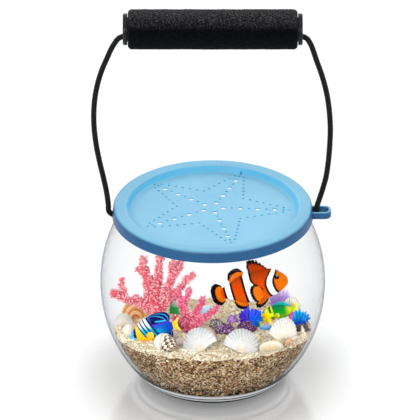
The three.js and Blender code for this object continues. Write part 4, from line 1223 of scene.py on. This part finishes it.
def scallop_tint(kind, out, rib, inside):
    grown = np.sin(fan_rings * out)
    lining = ("efe0c8", inside * 0.6)
    if kind == "shell_brown":
        bands = ("ecc795", soft(np.sin(21 * out), 0.2, 0.5))
        return layered("c88748", out, bands, ("8a4f22", soft(-grown, 0.75, 0.3) * 0.6), lining)
    # Painted shade: white and cream shells are darkened between their ribs.
    base, groove_shade, line = ("c1c2c3", 0.35, 0.1) if kind == "shell_white" else ("d8d7d0", 0.4, 0.25)
    return layered(
        base, out, ("a49a86", soft(-rib, 0.35, 0.8) * groove_shade), ("b8935f", soft(-grown, 0.7, 0.4) * line),
        ("cdb491", soft(0.25 - out, 0, 0.3) * 0.5), lining,
    )


shell_finish = painted_finish("sea_shell", mottle=0.12, mottle_scale=350.0, bump=0.05 * mm, Roughness=0.42,
                              Specular_IOR_Level=0.35, Subsurface_Weight=0.12, Subsurface_Scale=1.5 * mm)
for word, kind, fan_sizes, fan_place in scallop_places:
    fan, *fan_marks = scallop_skin(fan_sizes)
    fan_points, fan_faces = loft(fan * mm)
    fan_points = seated(fan_points, **fan_place)
    face_outward(decor(f"scallop_{word}_shell", "scallop_" + word, fan_points, fan_faces,
                       scallop_tint(kind, *fan_marks), shell_finish))

# Coiled shells: a fat white sea snail with dark brown checks lies at the front left, and a slender
# pointed one stands at the right. Each is one tube wound into a narrowing coil.
turban_length, turban_radius, turban_whorls = 17, 6, 3.2
spire_length, spire_radius, spire_turns, spire_shrink = 13, 4, 6, 0.66
coil_lift = 0.75  # how far a coil's middle lies above the sand, as a share of its radius


def coiled(length, radius, turns, shrink):
    """A tube wound about X into a cone that points to +X, with the turn and the angle of each point."""
    tube = 0.6 * radius
    sides = 26
    t = np.linspace(0, turns * 2 * math.pi, int(turns * 46))
    size = shrink ** (t / (2 * math.pi))
    along = (length - tube * 0.6) * (1 - size) - length / 2 + tube * 0.6
    path = np.column_stack([along, (radius - tube) * size * np.cos(t), (radius - tube) * size * np.sin(t)])
    lip = 1 + 0.1 * np.exp(-((t / 0.5) ** 2))
    rings = tube_rings(path, tube * size * lip, sides)
    return rings, np.repeat(t, sides), np.tile(round_angles(sides), len(t))


def turban(length, radius, whorls):
    """A fat shell about X that points to +X, with each point's place along, its angle and the seam."""
    along = np.linspace(0.004, 0.996, 110)[:, None]
    around = round_angles(80)[None, :]
    mouth = np.sqrt(np.maximum(0, 1 - ((along - 0.4) / 0.4) ** 2))
    spire = 1 - (np.maximum(0, along - 0.4) / 0.6) ** 1.9
    swell = np.where(along < 0.4, mouth, spire)
    turn = whorls * along**0.8 - around / (2 * math.pi)
    seam = np.exp(-(((turn - np.round(turn)) / 0.1) ** 2)) * soft(along, 0.3, 0.1)
    reach = radius * (np.maximum(swell, 0.02) * (1 - 0.16 * seam))
    middle = length * (along - 0.5) + 0 * around
    rings = np.stack([middle, reach * np.cos(around), reach * np.sin(around)], axis=-1)
    return rings, *((grid + 0 * reach).ravel() for grid in (along, around, seam))


def coiled_shells():
    rings, along, around, seam = turban(turban_length, turban_radius, turban_whorls)
    points, faces = loft(rings)
    checks = soft(np.sin(around * 7 + 9 * along) * np.sin(along * 34 + around), -0.05, 0.25)
    tint = layered(
        "ddd6ca", along, ("c9b28e", soft(np.sin(along * 70), 0.5, 0.6) * 0.4),
        ("4a2a1e", checks * soft(along, 0.44, 0.06)), ("6b4130", soft(along, 0.86, 0.1) * 0.7),
        ("a98a66", soft(seam, 0.55, 0.4) * 0.7),
    )
    places = seated((points + [0, 0, coil_lift * turban_radius]) * mm, (-0.46, -0.75), turn=-30, tilt=2)
    decor("spiral_shell_coil", "spiral_shell", places, faces, tint, shell_finish)

    rings, t, around = coiled(spire_length, spire_radius, spire_turns, spire_shrink)
    points, faces = loft(rings)
    tint = layered(
        "f4ead8", t, ("c8a277", soft(np.sin(t * 4 + around), 0.55, 0.4) * 0.6),
        ("a9855e", soft(np.sin(around * 4), 0.8, 0.3) * 0.4),
    )
    places = seated((points + [0, 0, coil_lift * spire_radius]) * mm, (0.9, -0.24), turn=100, tilt=-55)
    decor("pointed_shell_coil", "pointed_shell", places, faces, tint, shell_finish)


coiled_shells()

# Rounded shells: a small cowrie and a ribbed cockle, both white, an open clam half that shows its
# beige hollow, and a taupe wedge of mussel. They lie half sunk in the sand.
bare = 0.22  # how far a piece's middle lies above the sand, as a share of its height
cockle_ribs = 34


def rounded(name, sizes, place, shape, tint, finish, crease=None):
    """A stretched ball with its surface reshaped and painted, half sunk in the sand."""
    skin, sides = ball(5)
    points = shape(skin) * (np.array(sizes) / 2) + [0, 0, bare * sizes[2]]
    decor(name + "_piece", name, seated(points * mm, **place), sides, tint(skin), finish, crease)


def cowrie_slit(p):
    return np.exp(-((p[:, 1] + 0.45) / 0.1) ** 2)


def cowrie_shape(p):
    slit = cowrie_slit(p) * (p[:, 2] > -0.6) * (1 - p[:, 0] ** 4)
    return p * (1 - 0.14 * slit + 0.05 * p[:, 0])[:, None]


def cowrie_tint(p):
    return layered(
        "d2cdc2", p[:, 0], ("c9b38e", soft(p[:, 0], 0.3, 0.6) * 0.7),
        ("b98e5c", soft(cowrie_slit(p), 0.5, 0.4) * 0.7), ("d8b98a", soft(cloud(p, 0.3), 0.25, 0.3) * 0.4),
    )


def cockle_marks(p):
    """Ribs fanned out from the foot of a cockle, and the rings of its growth, from -1 to 1."""
    return np.cos(cockle_ribs * np.arctan2(p[:, 0], p[:, 2] + 1.1)), np.sin(26 * p[:, 2])


def cockle_shape(p):
    ribs, grown = cockle_marks(p)
    return p * (1 + (ribs * 0.028 + 0.015 * grown))[:, None]


def cockle_tint(p):
    ribs, grown = cockle_marks(p)
    # Painted shade: darker between the ribs.
    return layered(
        "e2ded4", ribs, ("c9b799", soft(-ribs, 0.3, 0.6) * 0.6), ("c5a980", soft(grown, 0.8, 0.3) * 0.35),
    )


def clam_shape(p):
    radius = np.hypot(p[:, 0], p[:, 1])
    hollow = 0.75 - 0.95 * np.clip(1 - radius**2, 0, 1) ** 0.8
    ring = 1 + 0.02 * np.sin(40 * radius)
    height = np.where(p[:, 2] > 0.02, hollow, p[:, 2] * 0.9 + 0.7 * radius**4)
    return np.column_stack([p[:, 0] * ring, p[:, 1] * ring, height])


def clam_tint(p):
    radius = np.hypot(p[:, 0], p[:, 1])
    return layered(
        "cdc8bd", radius, ("c4ab83", soft(0.75 - radius, 0, 0.4) * (p[:, 2] > 0) * 0.9),
        ("d2b78c", soft(np.sin(34 * radius), 0.6, 0.4) * 0.3),
    )


def mussel_shape(p):
    narrow = 0.95 - 0.2 * p[:, 2]
    return np.column_stack([p[:, 0] * narrow, p[:, 1] * narrow * (1 + 0.03 * np.sin(22 * p[:, 2])), p[:, 2]])


def mussel_tint(p):
    return layered(
        "a98469", p[:, 0], ("c9a98c", soft(np.sin(16 * p[:, 2] + 2 * p[:, 0]), 0.3, 0.5)),
        ("7d5c46", soft(cloud(p, 0.22), 0.2, 0.3) * 0.6),
    )


for name, kind, shell_sizes, shell_place, shape, tint in (
    ("cowrie_small", "shell_white", (8, 6, 6), dict(at=(-0.34, -0.6), turn=20), cowrie_shape, cowrie_tint),
    ("cowrie_left", "shell_white", (8, 7, 9.5), dict(at=(-0.84, -0.26)), cockle_shape, cockle_tint),
    ("clam_shell", "shell_cream", (14.5, 9, 6), dict(at=(0.575, -0.76), turn=20, lean=16), clam_shape,
     clam_tint),
    ("shell_brown", "shell_brown", (6, 4.5, 8.5), dict(at=(0.75, -0.61), tilt=20), mussel_shape, mussel_tint),
):
    rounded(name, shell_sizes, shell_place, shape, tint, shell_finish)

# Rocks: rough lumps of lava rock and coral rubble, two dark purple ones with white specks in the
# middle, a lilac and a grey one behind them and a dark one at the right.
rock_rough = 0.22
rock_apart = 7.3  # steps through the noise from rock to rock, so that no two are alike
rock_places = [
    ("rock_purple_front", "rock_purple", (12.5, 8, 9), dict(at=(0.12, -0.22)),
     ("421b49", "6a3776", "ecd4e6", 0.3)),
    ("rock_purple_right", "rock_purple", (12, 7, 9), dict(at=(0.34, -0.17), turn=-10),
     ("2c0f33", "4d1c52", "d9a8cc", 0.24)),
    ("rock_grey", "rock_grey", (9, 7, 8), dict(at=(0.04, -0.02)), ("4b4444", "8c8480", "f3efe8", 0.3)),
    ("rock_lilac", "rock_lilac", (7, 6, 8), dict(at=(0.2, 0.11)), ("7a3f9a", "b98ad6", "f4e6f6", 0.32)),
    ("rock_dark", "rock_grey", (8.5, 5, 7), dict(at=(0.9, -0.11)), ("33262c", "5a4650", "d8cfc8", 0.24)),
]


def rock_shape(shift):
    def shape(p):
        coarse, fine = cloud(p + shift, 0.55), cloud(p + shift, 0.2)
        return p * (1 + rock_rough * coarse + 0.3 * rock_rough * fine - 0.04)[:, None]
    return shape


def rock_tint(shift, dark, light, speck, specks):
    def tint(p):
        dots = np.array([noise.voronoi(Vector(place) / 0.17)[0][0] for place in p + shift])
        patches = soft(cloud(p + shift, 0.3), 0.1, 0.5)
        return layered(dark, dots, (light, patches), (speck, soft(specks - dots, 0, 0.1)))
    return tint


rock_finish = painted_finish("reef_rock", mottle=0.35, mottle_scale=900.0, bump=0.25 * mm, bump_scale=1800.0,
                             Roughness=0.8, Specular_IOR_Level=0.25)
for number, (name, kind, rock_sizes, rock_place, shades) in enumerate(rock_places):
    shift = rock_apart * number
    rounded(name, rock_sizes, rock_place, rock_shape(shift), rock_tint(shift, *shades), rock_finish)

# Glass pieces: a blue glass gem by the starfish and two bits of frosted sea glass, green and pale
# blue, that stand in the sand behind the corals. All are broken bottle glass worn smooth.
glass_first_seed = 31
glass_places = [
    ("pebble_blue", "blue_gem", 0.15, (8, 5, 4), dict(at=(0.54, -0.08), turn=12),
     ("2aa5e0", "9fd8f2", "5a5ad8")),
    ("sea_glass_green", "green_sea_glass", 0.1, (11, 6, 13), dict(at=(-0.35, 0.4), turn=15),
     ("2bb35c", "dcf5ea", "1c9a52")),
    ("sea_glass_blue", "pale_blue_sea_glass", 0.12, (10, 6, 8), dict(at=(-0.06, 0.42), turn=-15),
     ("8fd2f0", "e4f5fb", "aee0f2")),
]


def chipped(seed):
    """A ball cut flat by a few seeded planes, as broken glass is."""
    def shape(p):
        cuts = np.random.default_rng(seed).normal(size=(9, 3))
        cuts /= np.linalg.norm(cuts, axis=1)[:, None]
        reach = np.max(p @ cuts.T, axis=1)
        return p * np.minimum(1, 0.8 / np.maximum(reach, 0.2))[:, None]
    return shape


def glass_tint(deep, pale, far):
    def tint(p):
        # Painted light: the top of each piece is paler.
        return layered(deep, p[:, 0], (pale, soft(p[:, 2], 0.7, 0.5)), (far, soft(p[:, 0], 0.35, 0.5) * 0.7))
    return tint


for number, (name, finish_name, clear, glass_sizes, glass_place, shades) in enumerate(glass_places):
    glass_finish = painted_finish(
        finish_name, mottle=0.15, mottle_scale=300.0, bump=0.08 * mm, bump_scale=1200.0, Roughness=0.28,
        Transmission_Weight=clear, IOR=1.45, Subsurface_Weight=0.3, Subsurface_Scale=2 * mm,
    )
    shape = chipped(glass_first_seed + number)
    rounded(name, glass_sizes, glass_place, shape, glass_tint(*shades), glass_finish, crease=25)

# Lid: light-blue soft plastic, moulded in one piece with a channel that pushes over the neck, a sunk
# middle pierced by vents in a star of dots, and one loop tab on the right that the cord runs through.
lid_low, lid_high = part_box("lid")
lid_top = lid_high.z
lid_segments = 180
skirt_foot = lid_low.z
skirt_outer = -lid_low.x
skirt_thickness = 2.2 * mm
skirt_draft = 0.7 * mm
skirt_inner = skirt_outer - skirt_thickness
lid_round = 2.2 * mm
channel_roof = lid_top - 2.4 * mm
plug_outer = neck_radius - bowl_wall - 0.3 * mm
recess_edge = plug_outer - 1.7 * mm
recess_draft = 2.1 * mm
recess_floor = lid_top - 4 * mm
disc_thickness = 0.9 * mm
vent_radius = 1.7 * mm
vent_first = 6.6 * mm
vent_pitch = 10.8 * mm
vent_turn = math.radians(-4)
vents_per_arm = 4
star_back = 5 * mm
star_tip = 45.5 * mm
star_waist = 22.5 * mm
star_arms = 5
dot_radius = 0.8 * mm
dot_depth = 0.6 * mm
dots_per_edge = 7
notch_half_width = 2.05 * mm
notch_height = 4.7 * mm
tab_end = lid_high.x
tab_wall = 1.8 * mm
tab_width = 10.4 * mm
tab_height = 4.6 * mm
tab_raise = 0.3 * mm
tab_bend = 3.1 * mm
tab_straight = 3 * mm


def lid_finish():
    material, add, wire = new_finish("light_blue_plastic", Roughness=0.42, Specular_IOR_Level=0.35,
                                     Subsurface_Weight=0.15, Subsurface_Scale=2 * mm)
    place = surface_place(add)
    mottle = cloudy(add, place, 22.0, 3.0)
    # Painted shade: faces that turn sideways, the skirt outside and the recess wall inside, get darker blues
    # than the faces that look up.
    skirt, recess, disc, rim = (ramp(add, mottle, (0.3, dark), (0.7, light)) for dark, light in (
        ("11507f", "155786"), ("48abd2", "50b2d8"), ("7ab9d8", "81c1de"), ("6fb0cf", "76b7d5"),
    ))
    flat = add("VectorMath", {0: place, 1: (1, 1, 0)}, operation="MULTIPLY").outputs["Vector"]
    radius = add("VectorMath", {0: flat}, operation="LENGTH").outputs["Value"]
    outer = span(add, radius, recess_edge, plug_outer)
    upward = axis_share(add, add("NewGeometry").outputs["Normal"], "Z")
    level = span(add, upward, 0.45, 0.97)
    wire("Base Color", mixed(add, level, mixed(add, outer, recess, skirt), mixed(add, outer, disc, rim)))
    emboss(add, wire, cloudy(add, place, 3800.0), 0.2, 0.05 * mm)
    return material


def star_places():
    """Vents and small dots of the star, in plan: vents along each arm, dots between them and round it."""
    vents, dots = [], []

    def at(radius, angle):
        return np.array([radius * math.cos(angle), star_back + radius * math.sin(angle)])

    for arm in range(star_arms):
        angle = vent_turn + 2 * math.pi * arm / star_arms
        vents += [at(vent_first + vent_pitch * i, angle) for i in range(vents_per_arm)]
        dots += [at(vent_first + vent_pitch * (i + 0.5), angle) for i in range(vents_per_arm)]
        dots.append(at(star_tip + 2.2 * mm, angle))
        for side in (-1, 1):
            tip = at(star_tip - 1 * mm, angle + side * 0.07)
            waist = at(star_waist, angle + side * math.pi / star_arms)
            shares = np.linspace(0, 1, dots_per_edge)
            dots += [tip + (waist - tip) * share for share in (shares[:-1] if side < 0 else shares)]
    return vents, dots


def upright_bars(places, radius, low, high, sides):
    """Round bars that stand at places in plan, for cutting holes."""
    ring = [(radius * math.cos(a), radius * math.sin(a)) for a in round_angles(sides)]
    return joined(
        loft(np.array([[(x + across, y + along, z) for across, along in ring] for z in (low, high)]))
        for x, y in places
    )


def cut(piece, cutters):
    """Takes the cutters' shapes out of a piece."""
    for points, faces in cutters:
        tool = add_piece("cutter", points, faces)
        step = piece.modifiers.new("cut", "BOOLEAN")
        step.object, step.operation, step.solver = tool, "DIFFERENCE", "EXACT"
        settle(piece)
        bpy.data.objects.remove(tool)


def squarish(angle, half_wide, half_tall, power):
    """Reach of a rounded oblong's outline at each angle."""
    wide, tall = np.abs(np.cos(angle) / half_wide), np.abs(np.sin(angle) / half_tall)
    return (wide**power + tall**power) ** (-1 / power)


def tab_loop():
    """The loop tab as a flat band bent into a U, with its ends inside the skirt's wall."""
    root = skirt_outer - skirt_thickness / 2
    side, end = (tab_width - tab_wall) / 2, tab_end - tab_wall / 2

    def arc(y, start):
        return [
            [end - tab_bend + tab_bend * math.cos(a), y + tab_bend * math.sin(a)]
            for a in np.linspace(start, start + math.pi / 2, 7)
        ]

    route = [[root, -side], [root + tab_straight, -side]]
    route += arc(tab_bend - side, -math.pi / 2) + arc(side - tab_bend, 0)
    route += [[root + tab_straight, side], [root, side]]
    middle = skirt_foot + tab_raise + tab_height / 2
    path = smooth_path([[x, y, middle] for x, y in route], 0.5 * mm)
    section = squarish(round_angles(28), tab_height / 2, tab_wall / 2, 5)
    return loft(tube_rings(path, np.tile(section, (len(path), 1)), len(section)))


def lid():
    plug_foot = [plug_outer - recess_draft, recess_floor - disc_thickness]
    corners = [
        ([0, plug_foot[1]], 0), (plug_foot, 0.5 * mm), ([plug_outer, channel_roof], 0.4 * mm),
        ([skirt_inner, channel_roof], 0.4 * mm), ([skirt_inner, skirt_foot], 0.5 * mm),
        ([skirt_outer, skirt_foot], 0.6 * mm), ([skirt_outer - skirt_draft, lid_top], lid_round),
        ([recess_edge, lid_top], 0.9 * mm), ([recess_edge - recess_draft, recess_floor], 0.8 * mm),
        ([0, recess_floor], 0),
    ]
    profile = [corners[0][0]]
    for (before, _), (corner, radius), (after, _) in zip(corners, corners[1:], corners[2:]):
        profile += round_corner(corner, before, after, radius)
    profile.append(corners[-1][0])
    piece = add_piece("lid_moulding", *turned(profile, lid_segments))
    vents, dots = star_places()
    notch = (skirt_outer + skirt_inner) / 2
    box = np.array([(x, y, z) for z in (-1, 1) for x, y in ((-1, -1), (1, -1), (1, 1), (-1, 1))], float)
    box_faces = [(3, 2, 1, 0), (4, 5, 6, 7), (0, 1, 5, 4), (1, 2, 6, 5), (2, 3, 7, 6), (3, 0, 4, 7)]
    notch_size = np.array([skirt_thickness, notch_half_width, notch_height])
    cutter_top = recess_floor + 2 * mm
    cut(piece, [
        upright_bars(vents, vent_radius, recess_floor - 3 * mm, cutter_top, 28),
        upright_bars(dots, dot_radius, recess_floor - dot_depth, cutter_top, 12),
        (box * notch_size + [notch, 0, skirt_foot], box_faces),
        (box * notch_size + [-notch, 0, skirt_foot], box_faces),
    ])
    piece.data.shade_smooth()
    piece.data.set_sharp_from_angle(angle=math.radians(40))
    piece.data.materials.clear()
    piece.data.materials.append(lid_finish())
    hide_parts("lid")
    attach(piece, "lid")
    tab = add_piece("lid_tab", *tab_loop())
    tab.data.materials.append(piece.data.materials[0])
    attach(tab, "lid")


lid()

# Crimps: two flat aluminium sleeves, pressed on to the cord's ends with a hand tool. They lie in the
# lid's channel behind the skirt's notches, which are too narrow to let them out.
crimp_dents = 3
crimp_dent_depth = 0.16
crimp_sides = 32


def crimp_finish():
    material, add, wire = new_finish("crimped_aluminium", Metallic=1.0, Roughness=0.38)
    stretched = add("Mapping", {"Vector": surface_place(add), "Scale": (6000.0, 900.0, 6000.0)})
    brush = cloudy(add, stretched.outputs["Vector"], 1.0, 3.0)
    wire("Base Color", ramp(add, brush, (0.3, "85888b"), (0.7, "c2c4c6")))
    emboss(add, wire, brush, 0.3, 0.05 * mm)
    return material


def crimps():
    material = crimp_finish()
    along = np.linspace(-1, 1, 60)
    dent = 1 - crimp_dent_depth * np.cos(along * math.pi * crimp_dents / 2) ** 8
    blunt = np.clip((1 - np.abs(along)) / 0.08, 0.0, 1) ** 0.4 * 0.3 + 0.7
    for word in ("left", "right"):
        low, high = (np.array(corner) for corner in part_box("cord_crimp_" + word))
        middle, half = (low + high) / 2, (high - low) / 2
        path = middle + np.column_stack([0 * along, along * half[1], 0 * along])
        section = squarish(round_angles(crimp_sides), half[0], half[2], 4)
        rings = tube_rings(path, np.outer(dent * blunt, section), crimp_sides)
        piece = add_piece("crimp_" + word, *loft(rings))
        piece.data.materials.append(material)
        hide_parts("cord_crimp_" + word)
        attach(piece, "lid")


crimps()

# Grip: a black closed-cell foam sleeve pushed over a plastic core tube, with a glossy flanged cap
# plugged into each end. The cord runs through, so the whole grip turns on it.
foam_low, foam_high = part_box("foam_sleeve")
grip_height = (foam_low.z + foam_high.z) / 2
foam_radius = (foam_high.z - foam_low.z) / 2
foam_half = foam_high.x
foam_round = 2.6 * mm
foam_bore = 9.3 * mm
foam_pebble = 0.9 * mm
foam_pebble_height = 0.24 * mm
foam_wave = 7 * mm
foam_wave_height = 0.12 * mm
foam_rows, foam_sides, cap_sides = 170, 120, 96
foam_top_light_start = grip_height + 5 * mm
foam_top_light_end = grip_height + 13.5 * mm
cap_radius = (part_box("end_cap_right")[1].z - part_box("end_cap_right")[0].z) / 2
cap_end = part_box("end_cap_right")[1].x
cap_inner_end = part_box("end_cap_right")[0].x
cap_flange = foam_half + 0.3 * mm
cap_spigot = 7.7 * mm
cap_bore = 6.6 * mm
cap_mouth = 8.8 * mm
cap_flare_depth = 5 * mm


def turned_ring(profile, segments, out=None):
    """A closed ring turned about the grip's axis from a closed profile of radius and place along X."""
    profile = np.array(profile, float)
    angle = round_angles(segments)[None, :]
    radius, along = profile[:, :1] + 0 * angle, profile[:, 1:] + 0 * angle
    if out is not None:
        radius = radius + out(radius, along, angle)
    rings = np.stack([along, radius * np.cos(angle), grip_height + radius * np.sin(angle)], axis=-1)
    rows = len(profile)
    last = (rows - 1) * segments
    faces = grid_faces(rows, segments)
    faces += [(last + j, last + (j + 1) % segments, (j + 1) % segments, j) for j in range(segments)]
    return rings.reshape(-1, 3), faces


def foam_finish():
    material, add, wire = new_finish("black_foam", Roughness=0.95, Specular_IOR_Level=0.02, Sheen_Weight=0.02,
                                     Sheen_Roughness=0.6)
    place = surface_place(add)
    cells = add("TexVoronoi", {"Vector": place, "Scale": 1000.0}).outputs["Distance"]
    pore = cloudy(add, place, 1100.0, 4.0)
    # Painted light: the foam turns from near black to grey towards its top, where the light falls.
    shaded_tone = ramp(add, pore, (0.3, "020203"), (0.55, "060709"), (0.75, "111318"))
    lit_top_tone = ramp(add, pore, (0.34, "111112"), (0.5, "2b2b2d"), (0.66, "575759"))
    painted_foam_light = span(add, axis_share(add, place, "Z"), foam_top_light_start, foam_top_light_end)
    wire("Base Color", mixed(add, painted_foam_light, shaded_tone, lit_top_tone))
    emboss(add, wire, add("Math", {0: cells, 1: pore}, operation="ADD").outputs["Value"], 0.9, 0.5 * mm)
    return material


def foam_sleeve():
    def pebbles(radius, along, angle):
        out = np.zeros_like(along)
        for index in np.ndindex(out.shape):
            r, x, a = radius[index], along[index], angle[0, index[1]]
            spot = Vector((x, r * math.cos(a), r * math.sin(a)))
            fine, broad = noise.noise(spot / foam_pebble), noise.noise(spot / foam_wave)
            out[index] = fine * foam_pebble_height + broad * foam_wave_height
        return out

    shoulder = foam_radius - foam_round
    end = foam_half - foam_round
    face = (foam_bore + shoulder) / 2
    left, right = (
        [[shoulder + foam_round * math.cos(a), side * (end + foam_round * math.sin(a))]
         for a in np.linspace(0, math.pi / 2, 9)]
        for side in (-1, 1)
    )
    profile = [[foam_bore, -foam_half], [face, -foam_half]] + left[::-1]
    profile += [[foam_radius, x] for x in np.linspace(-end, end, foam_rows)[1:-1]]
    profile += right + [[face, foam_half], [foam_bore, foam_half]]
    piece = add_piece("foam_grip", *turned_ring(profile, foam_sides, pebbles), crease=60)
    piece.data.materials.append(foam_finish())
    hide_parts("foam_sleeve")
    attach(piece, "grip")


def gloss_black_finish():
    material, add, wire = new_finish("gloss_black_plastic", Roughness=0.2, Specular_IOR_Level=0.15,
                                     Coat_Weight=0.1, Coat_Roughness=0.12)
    swirl = cloudy(add, surface_place(add), 160.0, 5.0)
    wire("Base Color", ramp(add, swirl, (0.3, "08090b"), (0.7, "12141a")))
    emboss(add, wire, swirl, 0.08, 0.1 * mm)
    return material


def end_caps():
    material = gloss_black_finish()
    flare = [
        [cap_bore + (cap_mouth - cap_bore) * (1 - math.sqrt(1 - (1 - s) ** 2)),
         cap_end - 0.4 * mm - cap_flare_depth * s]
        for s in np.linspace(0, 1, 9)
    ]
    rim = round_corner([cap_radius, cap_end], [cap_radius, cap_flange], [cap_mouth, cap_end], 1.1 * mm)
    back = round_corner([cap_radius, cap_flange], [cap_spigot, cap_flange], [cap_radius, cap_end], 0.6 * mm)
    lip = round_corner([cap_mouth, cap_end], rim[-1], flare[1], 0.35 * mm)
    right = [[cap_spigot, cap_inner_end], [cap_spigot, cap_flange]] + back + rim + lip + flare[1:]
    right.append([cap_bore, cap_inner_end])
    left = [[radius, -along] for radius, along in right[::-1]]
    for word, profile in (("left", left), ("right", right)):
        piece = add_piece("grip_cap_" + word, *turned_ring(profile, cap_sides), crease=45)
        piece.data.materials.append(material)
        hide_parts("end_cap_" + word)
        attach(piece, "grip")
    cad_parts["core_tube"].data.materials.clear()
    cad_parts["core_tube"].data.materials.append(material)


foam_sleeve()
end_caps()

# Studio: a pale glossy floor that keeps the tank's soft shadow and turns white away from it, soft boxes
# at the front left and right, a weak one overhead, and a surround that is brightest low down behind.
floor_half = 4.0
glow_far = 0.28
glow_start = 58 * mm
glow_end = 98 * mm
surround_low = 0.15
surround_high = 0.3
surround_behind = 2.8
lamps_aim = Vector((0, 0, 0.1))


def seen_directly(add):
    """1 for rays from the camera, off gloss or through glass, and 0 for those that only carry light."""
    path = add("LightPath").outputs
    seen = path["Is Camera Ray"]
    for kind in ("Is Glossy Ray", "Is Transmission Ray"):
        seen = add("Math", {0: seen, 1: path[kind]}, operation="MAXIMUM").outputs["Value"]
    return seen


def floor_finish():
    material, add, wire = new_finish("pale_floor", Roughness=0.3, Specular_IOR_Level=0.2, Coat_Weight=1.0,
                                     Coat_Roughness=0.04, Coat_IOR=2.0, Emission_Color=(1, 1, 1, 1))
    place = surface_place(add)
    wire("Base Color", ramp(add, cloudy(add, place, 6.0), (0.3, "d4d4d4"), (0.7, "d8d8d8")))
    # Painted light: seen directly, the floor glows, not at all near the tank and up to glow_far away from it,
    # which also leaves a painted shadow round the tank.
    away = add("VectorMath", {0: place}, operation="LENGTH").outputs["Value"]
    glow = span(add, away, glow_start, glow_end, 0.0, glow_far, interpolation_type="SMOOTHSTEP")
    shown = add("Math", {0: seen_directly(add), 1: glow}, operation="MULTIPLY")
    wire("Emission Strength", shown.outputs["Value"])
    return material


def soft_box(name, place, size, power):
    lamp = bpy.data.lights.new(name, "AREA")
    lamp.shape, lamp.size, lamp.energy = "DISK", size, power
    made = bpy.data.objects.new(name, lamp)
    bpy.context.scene.collection.objects.link(made)
    made.location = place
    made.rotation_euler = (lamps_aim - Vector(place)).to_track_quat("-Z", "Y").to_euler()


def studio():
    corners = [(x * floor_half, y * floor_half, 0) for x, y in ((-1, -1), (1, -1), (1, 1), (-1, 1))]
    floor = add_piece("floor", corners, [(0, 1, 2, 3)])
    floor.data.materials.append(floor_finish())
    soft_box("overhead", (0, -0.2, 1.5), 1.0, 2)
    soft_box("front_left", (-0.8, -1.6, 1.0), 0.9, 20)
    soft_box("front_right", (0.9, -1.5, 0.9), 0.9, 10.5)
    world = bpy.data.worlds.new("surround")
    bpy.context.scene.world = world
    world.use_nodes = True
    add = node_adder(world.node_tree)
    look = add("TexCoord").outputs["Generated"]
    height = axis_share(add, look, "Z")
    before = span(add, height, 0.0, 1.0, surround_low, surround_high)
    behind = span(add, height, 0.5, 0.8, surround_behind, surround_high)
    level = span(add, axis_share(add, look, "Y"), -0.3, 0.2, before, behind)
    strength = span(add, seen_directly(add), 0.0, 1.0, level, 1.0)
    background = world.node_tree.nodes["Background"]
    background.inputs["Color"].default_value = (1, 1, 1, 1)
    world.node_tree.links.new(strength, background.inputs["Strength"])


studio()
